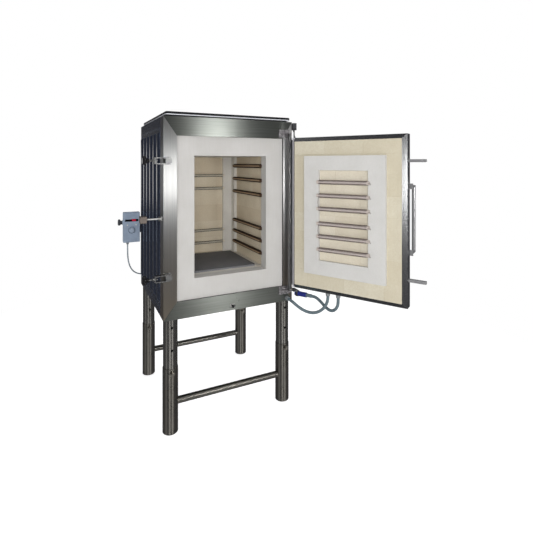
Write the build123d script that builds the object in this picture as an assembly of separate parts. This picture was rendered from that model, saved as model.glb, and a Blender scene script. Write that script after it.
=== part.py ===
from build123d import *
from math import cos, pi, radians, sin, tan
import os

# Front-loading kiln on a telescopic stand, millimetres.
# Origin: the floor, in the middle between the four feet. The door faces -Y, its hinge is at +X.

# Casing
BODY_W = 800
BODY_D = 777
BODY_H = 1120
SHEET = 3
PANEL_STEP = 1
FRAME_LEFT = 74
FRAME_RIGHT = 63
FRAME_TOP = 106
FRAME_BOTTOM = 96
FRAME_WRAP = 84
PANEL_SET = 12
RIB_COUNT = 6
RIB_FIRST = 138
RIB_LAST = 69
RIB_BASE = 46
RIB_CREST = 26
RIB_PROUD = 11
RIB_END_GAP = 26
BEAD_W = 5
BEAD_PROUD = 2
FIELD_FRONT = 92
FIELD_REAR = 48
FIELD_LOW = 49
FIELD_HIGH = 58

# Roof cover
COVER_SIDE = 12
COVER_REAR = 36
COVER_GAP = 7
COVER_TRAY = 9
COVER_LID = 10
COVER_CORNER = 14
SPACER_INSET = 30
SPACER_W = 40

# Chamber and its lining
WALL = 175
ROOF = 216
FLOOR = 212
JAMB = 70
LINING = 117
RECESS = 20
CORNER = 57
REAR_CORNER = 65
PLATE_SIDE_GAP = 25
PLATE_REAR_GAP = 41
PLATE_T = 10
PLATE_FRONT = 117
PLATE_CORNER = 12

# Heating elements
COIL_D = 26
COIL_WIRE = 3
TUBE_BORE = 0.55
TUBE_LAP = 10
COIL_SHORT = 4
SEAT_GAP = 0.3
SIDE_TUBE_Z = (843, 751, 660, 451, 373, 296)
REAR_COIL_D = 20
REAR_TUBE_Z = (772, 679, 376, 288)
DOOR_TUBE_Z = (752, 674, 597, 511, 437, 361)

# Stand
LEG_H = 630
LEG_D = 80
LEG_WALL = 3
LEG_SIDE = 47
LEG_FRONT = 44
LEG_BACK = 44
LEG_IN_SLEEVE = 98
SLEEVE_D = 85
SLEEVE_GAP = 0.3
SLEEVE_H = 360
FOOT_T = 6
RAIL_D = 38
RAIL_Z = 162
HOLE_FIRST = 43
HOLE_PITCH = 125
HOLE_COUNT = 3
HOLE_D = 14
BOSS_D = 26
BOSS_T = 9
LOCK_BOLT_D = 12
BOLT_HEAD = 19
BOLT_HEAD_T = 8

# Door, drawn shut and then turned open about its hinge
DOOR_OPEN = 120.6
DOOR_LAP_X = 120
DOOR_LAP_Z = 113
DOOR_T = 48
DOOR_OFF = 30
HINGE_OFF = 30
HINGE_EDGE = 21
HINGE_TUBE_D = 19
HINGE_PIN_D = 10
HINGE_PIN_GAP = 0.05
HINGE_LAP = 22
PIN_HEAD_D = 16
PIN_HEAD_T = 2
HINGE_PLAY = 0.3
LEAF_T = 6
LEAF_END = 12
BEVEL = 25
BEVEL_RISE = 18
PAD_RISE = 42
PAD_LAP = 17
PAD_BORDER_X = 95
PAD_BORDER_Z = 84
DOOR_BACKING = 28

# Door hardware
BRACKET_OUT = 24
BRACKET_T = 8
BRACKET_FLANGE_W = 74
BRACKET_FLANGE_H = 50
BRACKET_FLANGE_T = 5
BRACKET_NOSE = 14
HANDLE_D = 20
HANDLE_LOW = 380
HANDLE_HIGH = 742
HANDLE_OUT = 52
HANDLE_PAST = 6
HANDLE_ARM_T = 8
LUG_T = 5
LUG_H = 30
LUG_IN = 34
ARM_SECTION = 16
ARM_OUT = 88
ARM_DEPTH = 22
CLAMP_SPREAD = 316

# Swing clamps on the left of the frame
CLAMP_IN = 22
CLAMP_OFF = 20
CLAMP_PIN_D = 10
STRAP_T = 5
STRAP_H = 36
STRAP_DEPTH = 22
STRAP_REACH = 72
BLOCK_IN = 18
BLOCK_OUT = 16
ROD_D = 10
ROD_LEN = 43
ROD_INSIDE = 9
NUT_D = 18
NUT_T = 9
KNOB_D = 50
KNOB_HUB = 22
KNOB_LEN = 36
KNOB_LOBES = 5
RUN_GAP = 0.3

# Lock arm beside the door
LOCK_Z = 558
LOCK_PIVOT = 12
LOCK_WEB = 4
LOCK_EYE_D = 14
LOCK_SETBACK = 18
LOCK_ROD_D = 9
LOCK_ROD = 74
LOCK_BLOCK = 37
LOCK_LUG = 24

# Door switch at the upper hinge corner
SWITCH_OUT = 4
SWITCH_W = 22
SWITCH_D = 30
SWITCH_LOW = 1069
SWITCH_H = 44
SWITCH_SET = 18
SWITCH_EDGE = 4
LEVER_L = 40
LEVER_W = 10
LEVER_T = 4
LEVER_PIN_D = 4
LEVER_TAB_T = 3
ROLLER_D = 16
ROLLER_T = 4

# Air inlet in the bottom of the frame
AIR_Z = 26
AIR_W = 32
AIR_H = 21
AIR_ROD_D = 8
AIR_KNOB_D = 15
AIR_KNOB_T = 12
AIR_OUT = 6
AIR_REACH = 60

# Controller on the left, near the rear
CASE_OUT = 18
CASE_W = 110
CASE_D = 38
CASE_H = 208
CASE_LOW = 314
CASE_BACK = 77
CASE_CORNER = 5
FACE_T = 3
FACE_EDGE = 2
WINDOW_W = 89
WINDOW_H = 15
WINDOW_Z = 466
KEY_D = 9
KEY_Z = 434
KEY_SPREAD = 57
DIAL_D = 30
DIAL_T = 12
DIAL_Z = 399
DIAL_RING_D = 46
DIAL_RING_T = 1.5
MAIN_KNOB_D = 46
MAIN_KNOB_Z = 452
MAIN_BASE_D = 32
MAIN_BASE_T = 5
MAIN_KNOB_T = 28
HOLDER_T = 3
HOLDER_LOW = 60
HOLDER_TAB = 26
HOLDER_EDGE = 8

# Rear gear
HOUSING_W = 440
HOUSING_D = 120
HOUSING_H = 560
HOUSING_LOW = 40
HOUSING_CORNER = 10
HOUSING_SLOTS = 7
SLOT_PITCH = 16
SLOT_H = 6
SLOT_DEPTH = 3
SLOT_TOP = 60
FLUE_D = 80
FLUE_WALL = 3
FLUE_OUT = 60
FLUE_X = -112
FLUE_Z = 850
FLUE_PLATE = 130
PROBE_D = 12
PROBE_X = -112
PROBE_Z = 725
PROBE_IN = 40
PROBE_HEAD_D = 48
PROBE_HEAD_L = 46
PROBE_NECK = 20

# Cords
CONDUIT_D = 18
GLAND_D = 26
GLAND_L = 20
PLUG_D = 30
PLUG_L = 78
ADAPTOR_D = 22
ADAPTOR_L = 34
PLUG_Z = 42
PLUG_OUT = 24
PLUG_Y = 5
CABLE_D = 9
GLAND_NUT = 6
SMALL_GLAND_D = 16
SMALL_GLAND_L = 14
LOW_GLAND_IN = 35
LOW_GLAND_Z = 17
DOOR_GLANDS = (227, 292)
CABLE_IN = 30
CABLE_SET = 21
BOX_GLAND_Y = 55
BOX_GLAND_Z = 74
EAR_REACH = 16
EAR_FRONT = 24
EAR_REAR = 40
EAR_T = 4
EAR_H = 24
CLIP_T = 3
CLIP_FROM = 8
CLIP_W = 14
LEAD = 22
CABLE_LEAD = 36

# Planes that many pieces share
FRONT = -BODY_D / 2
BACK = BODY_D / 2
BASE = LEG_H
TOP = LEG_H + BODY_H
SIDE = BODY_W / 2
SKIN = SIDE - PANEL_STEP
INNER = SKIN - SHEET
PANEL_FACE = FRONT + PANEL_SET
JAMB_END = PANEL_FACE + JAMB
CHAMBER_X = SIDE - WALL
CHAMBER_REAR = BACK - WALL
CHAMBER_LOW = BASE + FLOOR
CHAMBER_HIGH = TOP - ROOF
CHAMBER_MID = (CHAMBER_LOW + CHAMBER_HIGH) / 2
LINING_X = CHAMBER_X + LINING
LINING_REAR = CHAMBER_REAR + LINING
CORNER_Y = CHAMBER_REAR - CORNER
CORNER_X = CHAMBER_X - REAR_CORNER
LEG_X = SIDE - LEG_SIDE
DOOR_W = 2 * (CHAMBER_X + DOOR_LAP_X)
DOOR_H = CHAMBER_HIGH - CHAMBER_LOW + 2 * DOOR_LAP_Z
PAD_W = 2 * (CHAMBER_X + PAD_LAP)
PAD_H = CHAMBER_HIGH - CHAMBER_LOW
HINGE_X = DOOR_W / 2 + HINGE_EDGE
HINGE_Y = FRONT - HINGE_OFF
DOOR_FACE = FRONT - DOOR_OFF
DOOR_BACK = DOOR_FACE - DOOR_T
DOOR_LOW = CHAMBER_MID - DOOR_H / 2
DOOR_HIGH = CHAMBER_MID + DOOR_H / 2

nodes = {}


def block(x0, x1, y0, y1, z0, z1):
    """A box between two corners, in any order."""
    size = (abs(x1 - x0), abs(y1 - y0), abs(z1 - z0))
    return Pos((x0 + x1) / 2, (y0 + y1) / 2, (z0 + z1) / 2) * Box(*size)


def rod(start, end, diameter):
    """A straight round bar between two points."""
    start, end = Vector(start), Vector(end)
    length = (end - start).length
    plane = Plane(origin=start, z_dir=end - start)
    return plane * Cylinder(diameter / 2, length, align=(Align.CENTER, Align.CENTER, Align.MIN))


def pipe(start, end, outer, bore):
    """A straight round tube between two points."""
    return rod(start, end, outer) - rod(start, end, bore)


def outline(plane, points, depth):
    """A flat outline pushed out along its plane's normal."""
    return extrude(plane * make_face(Polyline(*points, close=True)), depth)


def group(*solids):
    """Separate solids kept together in one node."""
    return Compound(children=[s for shape in solids for s in shape.solids()])


def opened(shape):
    """A piece of the door, drawn shut, turned with the door to where it stands open."""
    return Pos(HINGE_X, HINGE_Y, 0) * Rot(0, 0, DOOR_OPEN) * Pos(-HINGE_X, -HINGE_Y, 0) * shape


# Front frame: four folded members with mitred corners, a side wrap and an inner lip
frame_in = (-SIDE + FRAME_LEFT, SIDE - FRAME_RIGHT, BASE + FRAME_BOTTOM, TOP - FRAME_TOP)
wrap = block(-SIDE, SIDE, FRONT, FRONT + FRAME_WRAP, BASE, TOP)
wrap -= block(-SIDE + SHEET, SIDE - SHEET, FRONT + SHEET, FRONT + FRAME_WRAP, BASE + SHEET, TOP - SHEET)
lip = block(frame_in[0] - SHEET, frame_in[1] + SHEET, FRONT + SHEET, PANEL_FACE,
            frame_in[2] - SHEET, frame_in[3] + SHEET)
frame_ring = wrap + lip - block(frame_in[0], frame_in[1], FRONT, PANEL_FACE, frame_in[2], frame_in[3])
outer_corners = [(-SIDE, BASE), (SIDE, BASE), (SIDE, TOP), (-SIDE, TOP)]
inner_corners = [(frame_in[0], frame_in[2]), (frame_in[1], frame_in[2]),
                 (frame_in[1], frame_in[3]), (frame_in[0], frame_in[3])]
air_z = BASE + AIR_Z
air_hole = block(-AIR_W / 2, AIR_W / 2, FRONT, FRONT + SHEET, air_z - AIR_H / 2, air_z + AIR_H / 2)
members = []
for i in range(4):
    j = (i + 1) % 4
    wedge = [outer_corners[i], outer_corners[j], inner_corners[j], inner_corners[i]]
    mitre = outline(Plane.XZ.offset(-FRONT - FRAME_WRAP), wedge, FRAME_WRAP)
    members.append((frame_ring & mitre) - air_hole)
nodes["front_frame"] = group(*members)


def side_panel(side):
    """One ribbed sheet: a raised outline, and trapezoid ribs pressed outwards."""
    outer = side * SKIN
    panel = block(outer, side * INNER, FRONT + FRAME_WRAP, BACK, BASE, TOP)
    y0, y1 = FRONT + FIELD_FRONT, BACK - FIELD_REAR
    z0, z1 = BASE + FIELD_LOW, TOP - FIELD_HIGH
    bead = block(outer, outer + side * BEAD_PROUD, y0, y1, z0, z1)
    bead -= block(outer, outer + side * BEAD_PROUD, y0 + BEAD_W, y1 - BEAD_W, z0 + BEAD_W, z1 - BEAD_W)
    panel += bead
    slope = (RIB_BASE - RIB_CREST) / 2
    pitch = (BODY_D - RIB_FIRST - RIB_LAST) / (RIB_COUNT - 1)
    for i in range(RIB_COUNT):
        y = FRONT + RIB_FIRST + i * pitch
        length = z1 - z0 - 2 * RIB_END_GAP
        wall = Plane((outer, y, (z0 + z1) / 2), x_dir=(0, 1, 0), z_dir=(side, 0, 0))
        foot = wall * Rectangle(RIB_BASE, length)
        crest = wall.offset(RIB_PROUD) * Rectangle(RIB_CREST, length - 2 * slope)
        panel += loft([foot, crest])
    return panel


nodes["side_panel_left"] = side_panel(-1)
nodes["side_panel_right"] = side_panel(1)
rear_panel = block(-INNER, INNER, BACK - SHEET, BACK, BASE, TOP)
sheets = [block(-INNER, INNER, FRONT + FRAME_WRAP, BACK - SHEET, z, z + SHEET) for z in (BASE, TOP - SHEET)]
nodes["casing_sheets"] = group(*sheets)

# Roof cover on two spacer bars
cover_x = SIDE - COVER_SIDE
cover_rear = BACK - COVER_REAR
cover_low = TOP + COVER_GAP
cover_mid = (FRONT + cover_rear) / 2
cover_face = Pos(0, cover_mid) * RectangleRounded(2 * cover_x, cover_rear - FRONT, COVER_CORNER)
lid = Pos(0, 0, cover_low + COVER_TRAY) * extrude(cover_face, COVER_LID)
nodes["cover_lid"] = chamfer(lid.faces().sort_by(Axis.Z)[-1].edges(), COVER_LID / 3)
spacer_y = (FRONT + FRAME_WRAP / 2, cover_rear - FRAME_WRAP / 2)
spacer_x = cover_x - SPACER_INSET
spacers = [block(-spacer_x, spacer_x, y - SPACER_W / 2, y + SPACER_W / 2, TOP, cover_low) for y in spacer_y]
nodes["cover_tray"] = group(Pos(0, 0, cover_low) * extrude(cover_face, COVER_TRAY), *spacers)

# Chamber lining
panel_edge = SIDE - SHEET
chamber_hole = block(-CHAMBER_X, CHAMBER_X, PANEL_FACE, JAMB_END, CHAMBER_LOW, CHAMBER_HIGH)
front_panel = block(-panel_edge, panel_edge, PANEL_FACE, JAMB_END, BASE + SHEET, TOP - SHEET) - chamber_hole
tube_bare = COIL_D - 2 * COIL_WIRE
rear_tube = REAR_COIL_D - 2 * COIL_WIRE
side_tube_span = (JAMB_END - TUBE_LAP, CORNER_Y + TUBE_LAP)


def corner_column(side):
    """The corner column behind the chamber, L-shaped round the corner."""
    x0, x1, x2 = side * CORNER_X, side * CHAMBER_X, side * LINING_X
    column = block(x1, x2, CORNER_Y, LINING_REAR, CHAMBER_LOW, CHAMBER_HIGH)
    return column + block(x0, x1, CHAMBER_REAR, LINING_REAR, CHAMBER_LOW, CHAMBER_HIGH)


columns, bricks = [], []
seat_d = tube_bare + 2 * SEAT_GAP
rear_seat_d = rear_tube + 2 * SEAT_GAP
rear_half = CORNER_X + TUBE_LAP
for side in (-1, 1):
    column = corner_column(side)
    x = side * CHAMBER_X
    for z in SIDE_TUBE_Z:
        front_end, rear_end = side_tube_span
        front_panel -= rod((x, front_end - SEAT_GAP, BASE + z), (x, JAMB_END, BASE + z), seat_d)
        column -= rod((x, CORNER_Y, BASE + z), (x, rear_end + SEAT_GAP, BASE + z), seat_d)
    for z in REAR_TUBE_Z:
        inner = side * CORNER_X
        column -= rod((inner, CHAMBER_REAR, BASE + z),
                      (inner + side * (TUBE_LAP + SEAT_GAP), CHAMBER_REAR, BASE + z), rear_seat_d)
    columns.append(column)
    bricks.append(block(side * (CHAMBER_X + RECESS), side * LINING_X, JAMB_END, CORNER_Y,
                        CHAMBER_LOW, CHAMBER_HIGH))
nodes["corner_columns"] = group(*columns)
nodes["front_panel"] = front_panel
probe_y = CHAMBER_REAR - PROBE_IN
probe_hole = rod((PROBE_X, CHAMBER_REAR, BASE + PROBE_Z), (PROBE_X, BACK, BASE + PROBE_Z), PROBE_D)
flue_bore = rod((FLUE_X, CHAMBER_REAR, BASE + FLUE_Z), (FLUE_X, BACK, BASE + FLUE_Z), FLUE_D)
bricks.append(block(-CORNER_X, CORNER_X, CHAMBER_REAR + RECESS, LINING_REAR, CHAMBER_LOW, CHAMBER_HIGH)
              - probe_hole - flue_bore)
nodes["brick_walls"] = group(*bricks)
nodes["rear_panel"] = rear_panel - probe_hole - flue_bore
roof_high = CHAMBER_HIGH + LINING
floor_low = CHAMBER_LOW - LINING
slabs = [block(-LINING_X, LINING_X, JAMB_END, LINING_REAR, z, z + LINING) for z in (floor_low, CHAMBER_HIGH)]
nodes["roof_and_floor"] = group(*slabs)

# Backing boards between the lining and the casing
casing_low = BASE + SHEET
casing_high = TOP - SHEET
boards = [block(side * LINING_X, side * INNER, JAMB_END, BACK - SHEET, casing_low, casing_high)
          for side in (-1, 1)]
boards.append(block(-LINING_X, LINING_X, LINING_REAR, BACK - SHEET, casing_low, casing_high)
              - probe_hole - flue_bore)
boards.append(block(-LINING_X, LINING_X, JAMB_END, LINING_REAR, roof_high, casing_high))
boards.append(block(-LINING_X, LINING_X, JAMB_END, LINING_REAR, casing_low, floor_low))
nodes["backing_boards"] = group(*boards)

# Shelf plate on the chamber floor
plate_w = 2 * (CHAMBER_X - PLATE_SIDE_GAP)
plate_d = CHAMBER_REAR - PLATE_REAR_GAP - FRONT - PLATE_FRONT
plate_face = Pos(0, FRONT + PLATE_FRONT + plate_d / 2) * RectangleRounded(plate_w, plate_d, PLATE_CORNER)
nodes["shelf_plate"] = Pos(0, 0, CHAMBER_LOW) * extrude(plate_face, PLATE_T)


def element(start, end, bare, coil):
    """A ceramic tube and the wire winding on it, as a tube and a sleeve."""
    start, end = Vector(start), Vector(end)
    along = (end - start).normalized()
    cut = TUBE_LAP + COIL_SHORT
    tube = pipe(start, end, bare, bare * TUBE_BORE)
    winding = pipe(start + along * cut, end - along * cut, coil, bare)
    return tube, winding


pairs = []
for x in (-CHAMBER_X, CHAMBER_X):
    for z in SIDE_TUBE_Z:
        front_end, rear_end = side_tube_span
        pairs.append(element((x, front_end, BASE + z), (x, rear_end, BASE + z), tube_bare, COIL_D))
for z in REAR_TUBE_Z:
    left_end, right_end = (-rear_half, CHAMBER_REAR, BASE + z), (rear_half, CHAMBER_REAR, BASE + z)
    pairs.append(element(left_end, right_end, rear_tube, REAR_COIL_D))
nodes["chamber_tubes"] = group(*[tube for tube, _ in pairs])
nodes["chamber_coils"] = group(*[winding for _, winding in pairs])

# Stand: four tubes under the casing, and two sleeve frames that slide on them
sleeve_bore = LEG_D + 2 * SLEEVE_GAP
leg_low = SLEEVE_H - LEG_IN_SLEEVE
rows = {"front": FRONT + LEG_FRONT, "rear": BACK - LEG_BACK}
tubes = []
for row, y in rows.items():
    sleeves, bolts = [], []
    for x in (-LEG_X, LEG_X):
        tube = pipe((x, y, leg_low), (x, y, BASE), LEG_D, LEG_D - 2 * LEG_WALL)
        for i in range(HOLE_COUNT):
            z = BASE - HOLE_FIRST - i * HOLE_PITCH
            tube -= rod((x, y - LEG_D, z), (x, y, z), HOLE_D)
        tubes.append(tube)
        bolt_z = BASE - HOLE_FIRST - (HOLE_COUNT - 1) * HOLE_PITCH
        boss_end = y - SLEEVE_D / 2 - BOSS_T
        sleeve = rod((x, y, 0), (x, y, SLEEVE_H), SLEEVE_D)
        sleeve = chamfer(sleeve.edges().sort_by(Axis.Z)[0], FOOT_T / 2)
        sleeve += rod((x, boss_end, bolt_z), (x, y, bolt_z), BOSS_D)
        sleeve -= rod((x, y, FOOT_T), (x, y, SLEEVE_H), sleeve_bore)
        sleeve -= rod((x, boss_end, bolt_z), (x, y, bolt_z), LOCK_BOLT_D)
        sleeves.append(sleeve)
        hexagon = RegularPolygon(BOLT_HEAD / 2, 6)
        head = Plane((x, boss_end, bolt_z), z_dir=(0, -1, 0)) * extrude(hexagon, BOLT_HEAD_T)
        shank = rod((x, boss_end, bolt_z), (x, y - sleeve_bore / 2, bolt_z), LOCK_BOLT_D)
        shank -= rod((x, y, 0), (x, y, SLEEVE_H), sleeve_bore)
        bolts.append(head + shank)
    rail = rod((-LEG_X, y, RAIL_Z), (LEG_X, y, RAIL_Z), RAIL_D)
    for x in (-LEG_X, LEG_X):
        rail -= rod((x, y, 0), (x, y, SLEEVE_H), SLEEVE_D)
    middle = [s for s in rail.solids() if abs(s.center().X) < 1]
    nodes["stand_frame_" + row] = group(*sleeves, middle[0], *bolts)
nodes["stand_tubes"] = group(*tubes)

# Hinge brackets and pins on the frame, above and below the door
pins, brackets = [], []
hinge_low, hinge_high = DOOR_LOW - BRACKET_OUT, DOOR_HIGH + BRACKET_OUT
for tip, up in ((hinge_low, 1), (hinge_high, -1)):
    plate_z = sorted((tip, tip - up * BRACKET_T))
    flange_z = tip - up * BRACKET_T / 2
    x1 = HINGE_X + BRACKET_NOSE
    x0 = x1 - BRACKET_FLANGE_W
    flange = block(x0, x1, FRONT - BRACKET_FLANGE_T, FRONT,
                   flange_z - BRACKET_FLANGE_H / 2, flange_z + BRACKET_FLANGE_H / 2)
    arm_points = [(x0, FRONT - BRACKET_FLANGE_T), (x1, FRONT - BRACKET_FLANGE_T),
                  (x1, HINGE_Y), (HINGE_X - BRACKET_NOSE, HINGE_Y)]
    arm = outline(Plane.XY.offset(plate_z[0]), arm_points, BRACKET_T)
    arm += rod((HINGE_X, HINGE_Y, plate_z[0]), (HINGE_X, HINGE_Y, plate_z[1]), 2 * BRACKET_NOSE)
    arm -= rod((HINGE_X, HINGE_Y, plate_z[0]), (HINGE_X, HINGE_Y, plate_z[1]), HINGE_PIN_D)
    brackets.append(flange + arm)
    outer_face = tip - up * BRACKET_T
    pin = rod((HINGE_X, HINGE_Y, outer_face), (HINGE_X, HINGE_Y, tip + up * HINGE_LAP), HINGE_PIN_D)
    pin += rod((HINGE_X, HINGE_Y, outer_face - up * PIN_HEAD_T), (HINGE_X, HINGE_Y, outer_face), PIN_HEAD_D)
    pins.append(pin)
nodes["hinge_brackets"] = group(*brackets)

# Door: frame with a bevelled lip, back sheet, brick border, fibre seal and brick core
half_w, half_h = DOOR_W / 2, DOOR_H / 2


def door_slab(half_x, half_z, y0, y1):
    """A flat slab of the door about the middle of the chamber, drawn shut."""
    return block(-half_x, half_x, y0, y1, CHAMBER_MID - half_z, CHAMBER_MID + half_z)


def door_plane(y):
    """The plane of the shut door at one depth, looking at the kiln."""
    return Plane((0, y, CHAMBER_MID), x_dir=(1, 0, 0), z_dir=(0, 1, 0))


brick_x, brick_z = half_w - BEVEL, half_h - BEVEL
brick_face = DOOR_FACE + BEVEL_RISE
seal_face = DOOR_FACE + PAD_RISE
core_face = seal_face - RECESS
inside_back = DOOR_BACK + SHEET
bricks_back = inside_back + DOOR_BACKING
door_frame = door_slab(half_w, half_h, inside_back, DOOR_FACE)
lip_in = 2 * SHEET
door_frame += loft([door_plane(DOOR_FACE) * Rectangle(DOOR_W, DOOR_H),
                    door_plane(brick_face) * Rectangle(2 * brick_x, 2 * brick_z)])
door_frame -= door_slab(half_w - SHEET, half_h - SHEET, inside_back, DOOR_FACE - SHEET)
door_frame -= loft([door_plane(DOOR_FACE - SHEET) * Rectangle(DOOR_W - lip_in, DOOR_H - lip_in),
                    door_plane(brick_face - SHEET) * Rectangle(2 * brick_x - lip_in, 2 * brick_z - lip_in)])
door_frame -= door_slab(brick_x, brick_z, inside_back, brick_face)
nodes["door_frame"] = opened(door_frame)
nodes["door_back"] = opened(door_slab(half_w, half_h, DOOR_BACK, inside_back))
nodes["door_brick_border"] = opened(door_slab(brick_x, brick_z, bricks_back, brick_face)
                                    - door_slab(PAD_W / 2, PAD_H / 2, bricks_back, brick_face))
core_x, core_z = PAD_W / 2 - PAD_BORDER_X, PAD_H / 2 - PAD_BORDER_Z
seal = door_slab(PAD_W / 2, PAD_H / 2, bricks_back, seal_face)
seal -= door_slab(core_x, core_z, bricks_back, seal_face)
door_half = core_x + TUBE_LAP
door_ends = []
for z in DOOR_TUBE_Z:
    seat_x = door_half + SEAT_GAP
    seal -= rod((-seat_x, seal_face, BASE + z), (seat_x, seal_face, BASE + z), seat_d)
    door_ends.append(((-door_half, seal_face, BASE + z), (door_half, seal_face, BASE + z)))
nodes["door_seal"] = opened(seal)
nodes["door_core"] = opened(door_slab(brick_x, brick_z, inside_back, bricks_back)
                            + door_slab(core_x, core_z, bricks_back, core_face))
pairs = [element(start, end, tube_bare, COIL_D) for start, end in door_ends]
nodes["door_element_tubes"] = group(*[opened(tube) for tube, _ in pairs])
nodes["door_element_coils"] = group(*[opened(winding) for _, winding in pairs])

# Hinge tube, with the leaf that carries the door
tube_ends = (hinge_low + HINGE_PLAY, hinge_high - HINGE_PLAY)
hinge_tube = rod((HINGE_X, HINGE_Y, tube_ends[0]), (HINGE_X, HINGE_Y, tube_ends[1]), HINGE_TUBE_D)
leaf_y = HINGE_Y - HINGE_TUBE_D / 2
hinge_tube += block(half_w, HINGE_X, leaf_y, leaf_y + LEAF_T, DOOR_LOW + LEAF_END, DOOR_HIGH - LEAF_END)
hinge_tube -= rod((HINGE_X, HINGE_Y, tube_ends[0]), (HINGE_X, HINGE_Y, tube_ends[1]),
                  HINGE_PIN_D + 2 * HINGE_PIN_GAP)
nodes["hinge_tube"] = opened(hinge_tube)

# Door handle: a round bar between two flat arms, on plates that reach past the free edge
bar_x = -half_w - HANDLE_PAST
bar_y = DOOR_BACK - LUG_T - HANDLE_OUT
low, high = BASE + HANDLE_LOW, BASE + HANDLE_HIGH
handle = [rod((bar_x, bar_y, low + HANDLE_ARM_T), (bar_x, bar_y, high - HANDLE_ARM_T), HANDLE_D)]
for z in (low, high - HANDLE_ARM_T):
    arm = block(bar_x - HANDLE_D / 2, bar_x + HANDLE_D / 2, bar_y, DOOR_BACK - LUG_T, z, z + HANDLE_ARM_T)
    handle.append(arm + rod((bar_x, bar_y, z), (bar_x, bar_y, z + HANDLE_ARM_T), HANDLE_D))
    middle_z = z + HANDLE_ARM_T / 2
    handle.append(block(-half_w + LUG_IN, bar_x - HANDLE_D / 2, DOOR_BACK - LUG_T, DOOR_BACK,
                        middle_z - LUG_H / 2, middle_z + LUG_H / 2))
nodes["door_handle"] = group(*[opened(piece) for piece in handle])

# Clamp arms on the free edge, gripped by the swing clamps
clamp_levels = {"upper": CHAMBER_MID + CLAMP_SPREAD, "lower": CHAMBER_MID - CLAMP_SPREAD}
arm_y = DOOR_FACE - ARM_DEPTH - ARM_SECTION / 2
arms = []
for z in clamp_levels.values():
    half = ARM_SECTION / 2
    arm = block(-half_w - ARM_OUT, -half_w, arm_y - half, arm_y + half, z - half, z + half)
    arms.append(chamfer(arm.faces().sort_by(Axis.X)[0].edges(), 1.5))
nodes["door_arms"] = group(*[opened(arm) for arm in arms])


def star_knob(diameter, hub, length, lobes):
    """A lobed hand knob along +Z: a waisted hub that opens into a lobed grip."""
    head = extrude(Circle(diameter / 2), length * 0.55)
    for i in range(lobes):
        turn = 2 * pi * (i + 0.5) / lobes
        reach = diameter / 2 + diameter / 9
        head -= Pos(reach * cos(turn), reach * sin(turn), 0) * Cylinder(
            diameter / 4.4, length, align=(Align.CENTER, Align.CENTER, Align.MIN))
    neck = loft([Circle(hub / 2), Pos(0, 0, length * 0.45) * Circle(hub / 2 * 1.15)])
    return neck + Pos(0, 0, length * 0.45) * head


# Swing clamps: block, strap, screw and star knob, swung out to the left
clamp_y = FRONT - CLAMP_OFF
pivot_x = -SIDE + CLAMP_IN
strap_end = pivot_x - STRAP_REACH
clamp_blocks = []
for name, z in clamp_levels.items():
    inside = STRAP_H / 2 - STRAP_T
    body = block(pivot_x - BLOCK_OUT, pivot_x + BLOCK_IN, clamp_y - STRAP_DEPTH / 2, FRONT,
                 z - inside + RUN_GAP, z + inside - RUN_GAP)
    body += block(pivot_x - BLOCK_OUT, pivot_x + BLOCK_IN, FRONT - STRAP_T, FRONT, z - STRAP_H / 2 - 3,
                  z + STRAP_H / 2 + 3)
    pin_half = STRAP_H / 2 + PIN_HEAD_T
    clamp_pin = rod((pivot_x, clamp_y, z - pin_half), (pivot_x, clamp_y, z + pin_half), CLAMP_PIN_D)
    clamp_blocks.append(body - clamp_pin)
    pins.append(clamp_pin)
    reach = block(strap_end, pivot_x, clamp_y - STRAP_DEPTH / 2, clamp_y + STRAP_DEPTH / 2,
                  z - STRAP_H / 2, z + STRAP_H / 2)
    reach += rod((pivot_x, clamp_y, z - STRAP_H / 2), (pivot_x, clamp_y, z + STRAP_H / 2), STRAP_DEPTH)
    reach -= block(strap_end + STRAP_T, pivot_x + STRAP_DEPTH, clamp_y - STRAP_DEPTH, clamp_y + STRAP_DEPTH,
                   z - inside, z + inside)
    reach += rod((strap_end - NUT_T, clamp_y, z), (strap_end, clamp_y, z), NUT_D)
    reach -= rod((strap_end - NUT_T, clamp_y, z), (strap_end + STRAP_T, clamp_y, z),
                 ROD_D + 2 * HINGE_PIN_GAP)
    reach -= rod((pivot_x, clamp_y, z - STRAP_H), (pivot_x, clamp_y, z + STRAP_H),
                 CLAMP_PIN_D + 2 * HINGE_PIN_GAP)
    nodes["clamp_strap_" + name] = reach
    rod_tip = strap_end + STRAP_T + ROD_INSIDE
    rod_end = strap_end - NUT_T - ROD_LEN + KNOB_LEN / 3
    nodes["clamp_screw_" + name] = rod((rod_end, clamp_y, z), (rod_tip, clamp_y, z), ROD_D)
    knob = Plane((rod_end + KNOB_LEN / 3, clamp_y, z), z_dir=(-1, 0, 0)) * star_knob(
        KNOB_D, KNOB_HUB, KNOB_LEN, KNOB_LOBES)
    nodes["clamp_knob_" + name] = knob - rod((rod_end, clamp_y, z), (rod_tip, clamp_y, z), ROD_D)

# Lock arm: a lug on the frame's side wrap, and a rod with a block that swings forward beside the door
lock_z = BASE + LOCK_Z
lock_x, lock_y = -SIDE - LOCK_PIVOT, FRONT + LOCK_SETBACK
lug_half = LOCK_LUG / 2
lug = block(-SIDE, lock_x, lock_y - LOCK_ROD_D, lock_y + LOCK_ROD_D, lock_z - lug_half, lock_z + lug_half)
lug += rod((lock_x, lock_y, lock_z - lug_half), (lock_x, lock_y, lock_z + lug_half), 2 * LOCK_PIVOT - 1)
slot_half = LOCK_ROD_D / 2 + RUN_GAP
lug -= block(-SIDE - LOCK_WEB, lock_x - 2 * LOCK_PIVOT, lock_y - 2 * LOCK_ROD_D, lock_y + 2 * LOCK_ROD_D,
             lock_z - slot_half, lock_z + slot_half)
lock_pin_d = LOCK_ROD_D / 2
lock_hole = rod((lock_x, lock_y, lock_z - lug_half), (lock_x, lock_y, lock_z + lug_half), lock_pin_d)
nodes["clamp_blocks"] = group(*clamp_blocks, lug - lock_hole)
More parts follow.
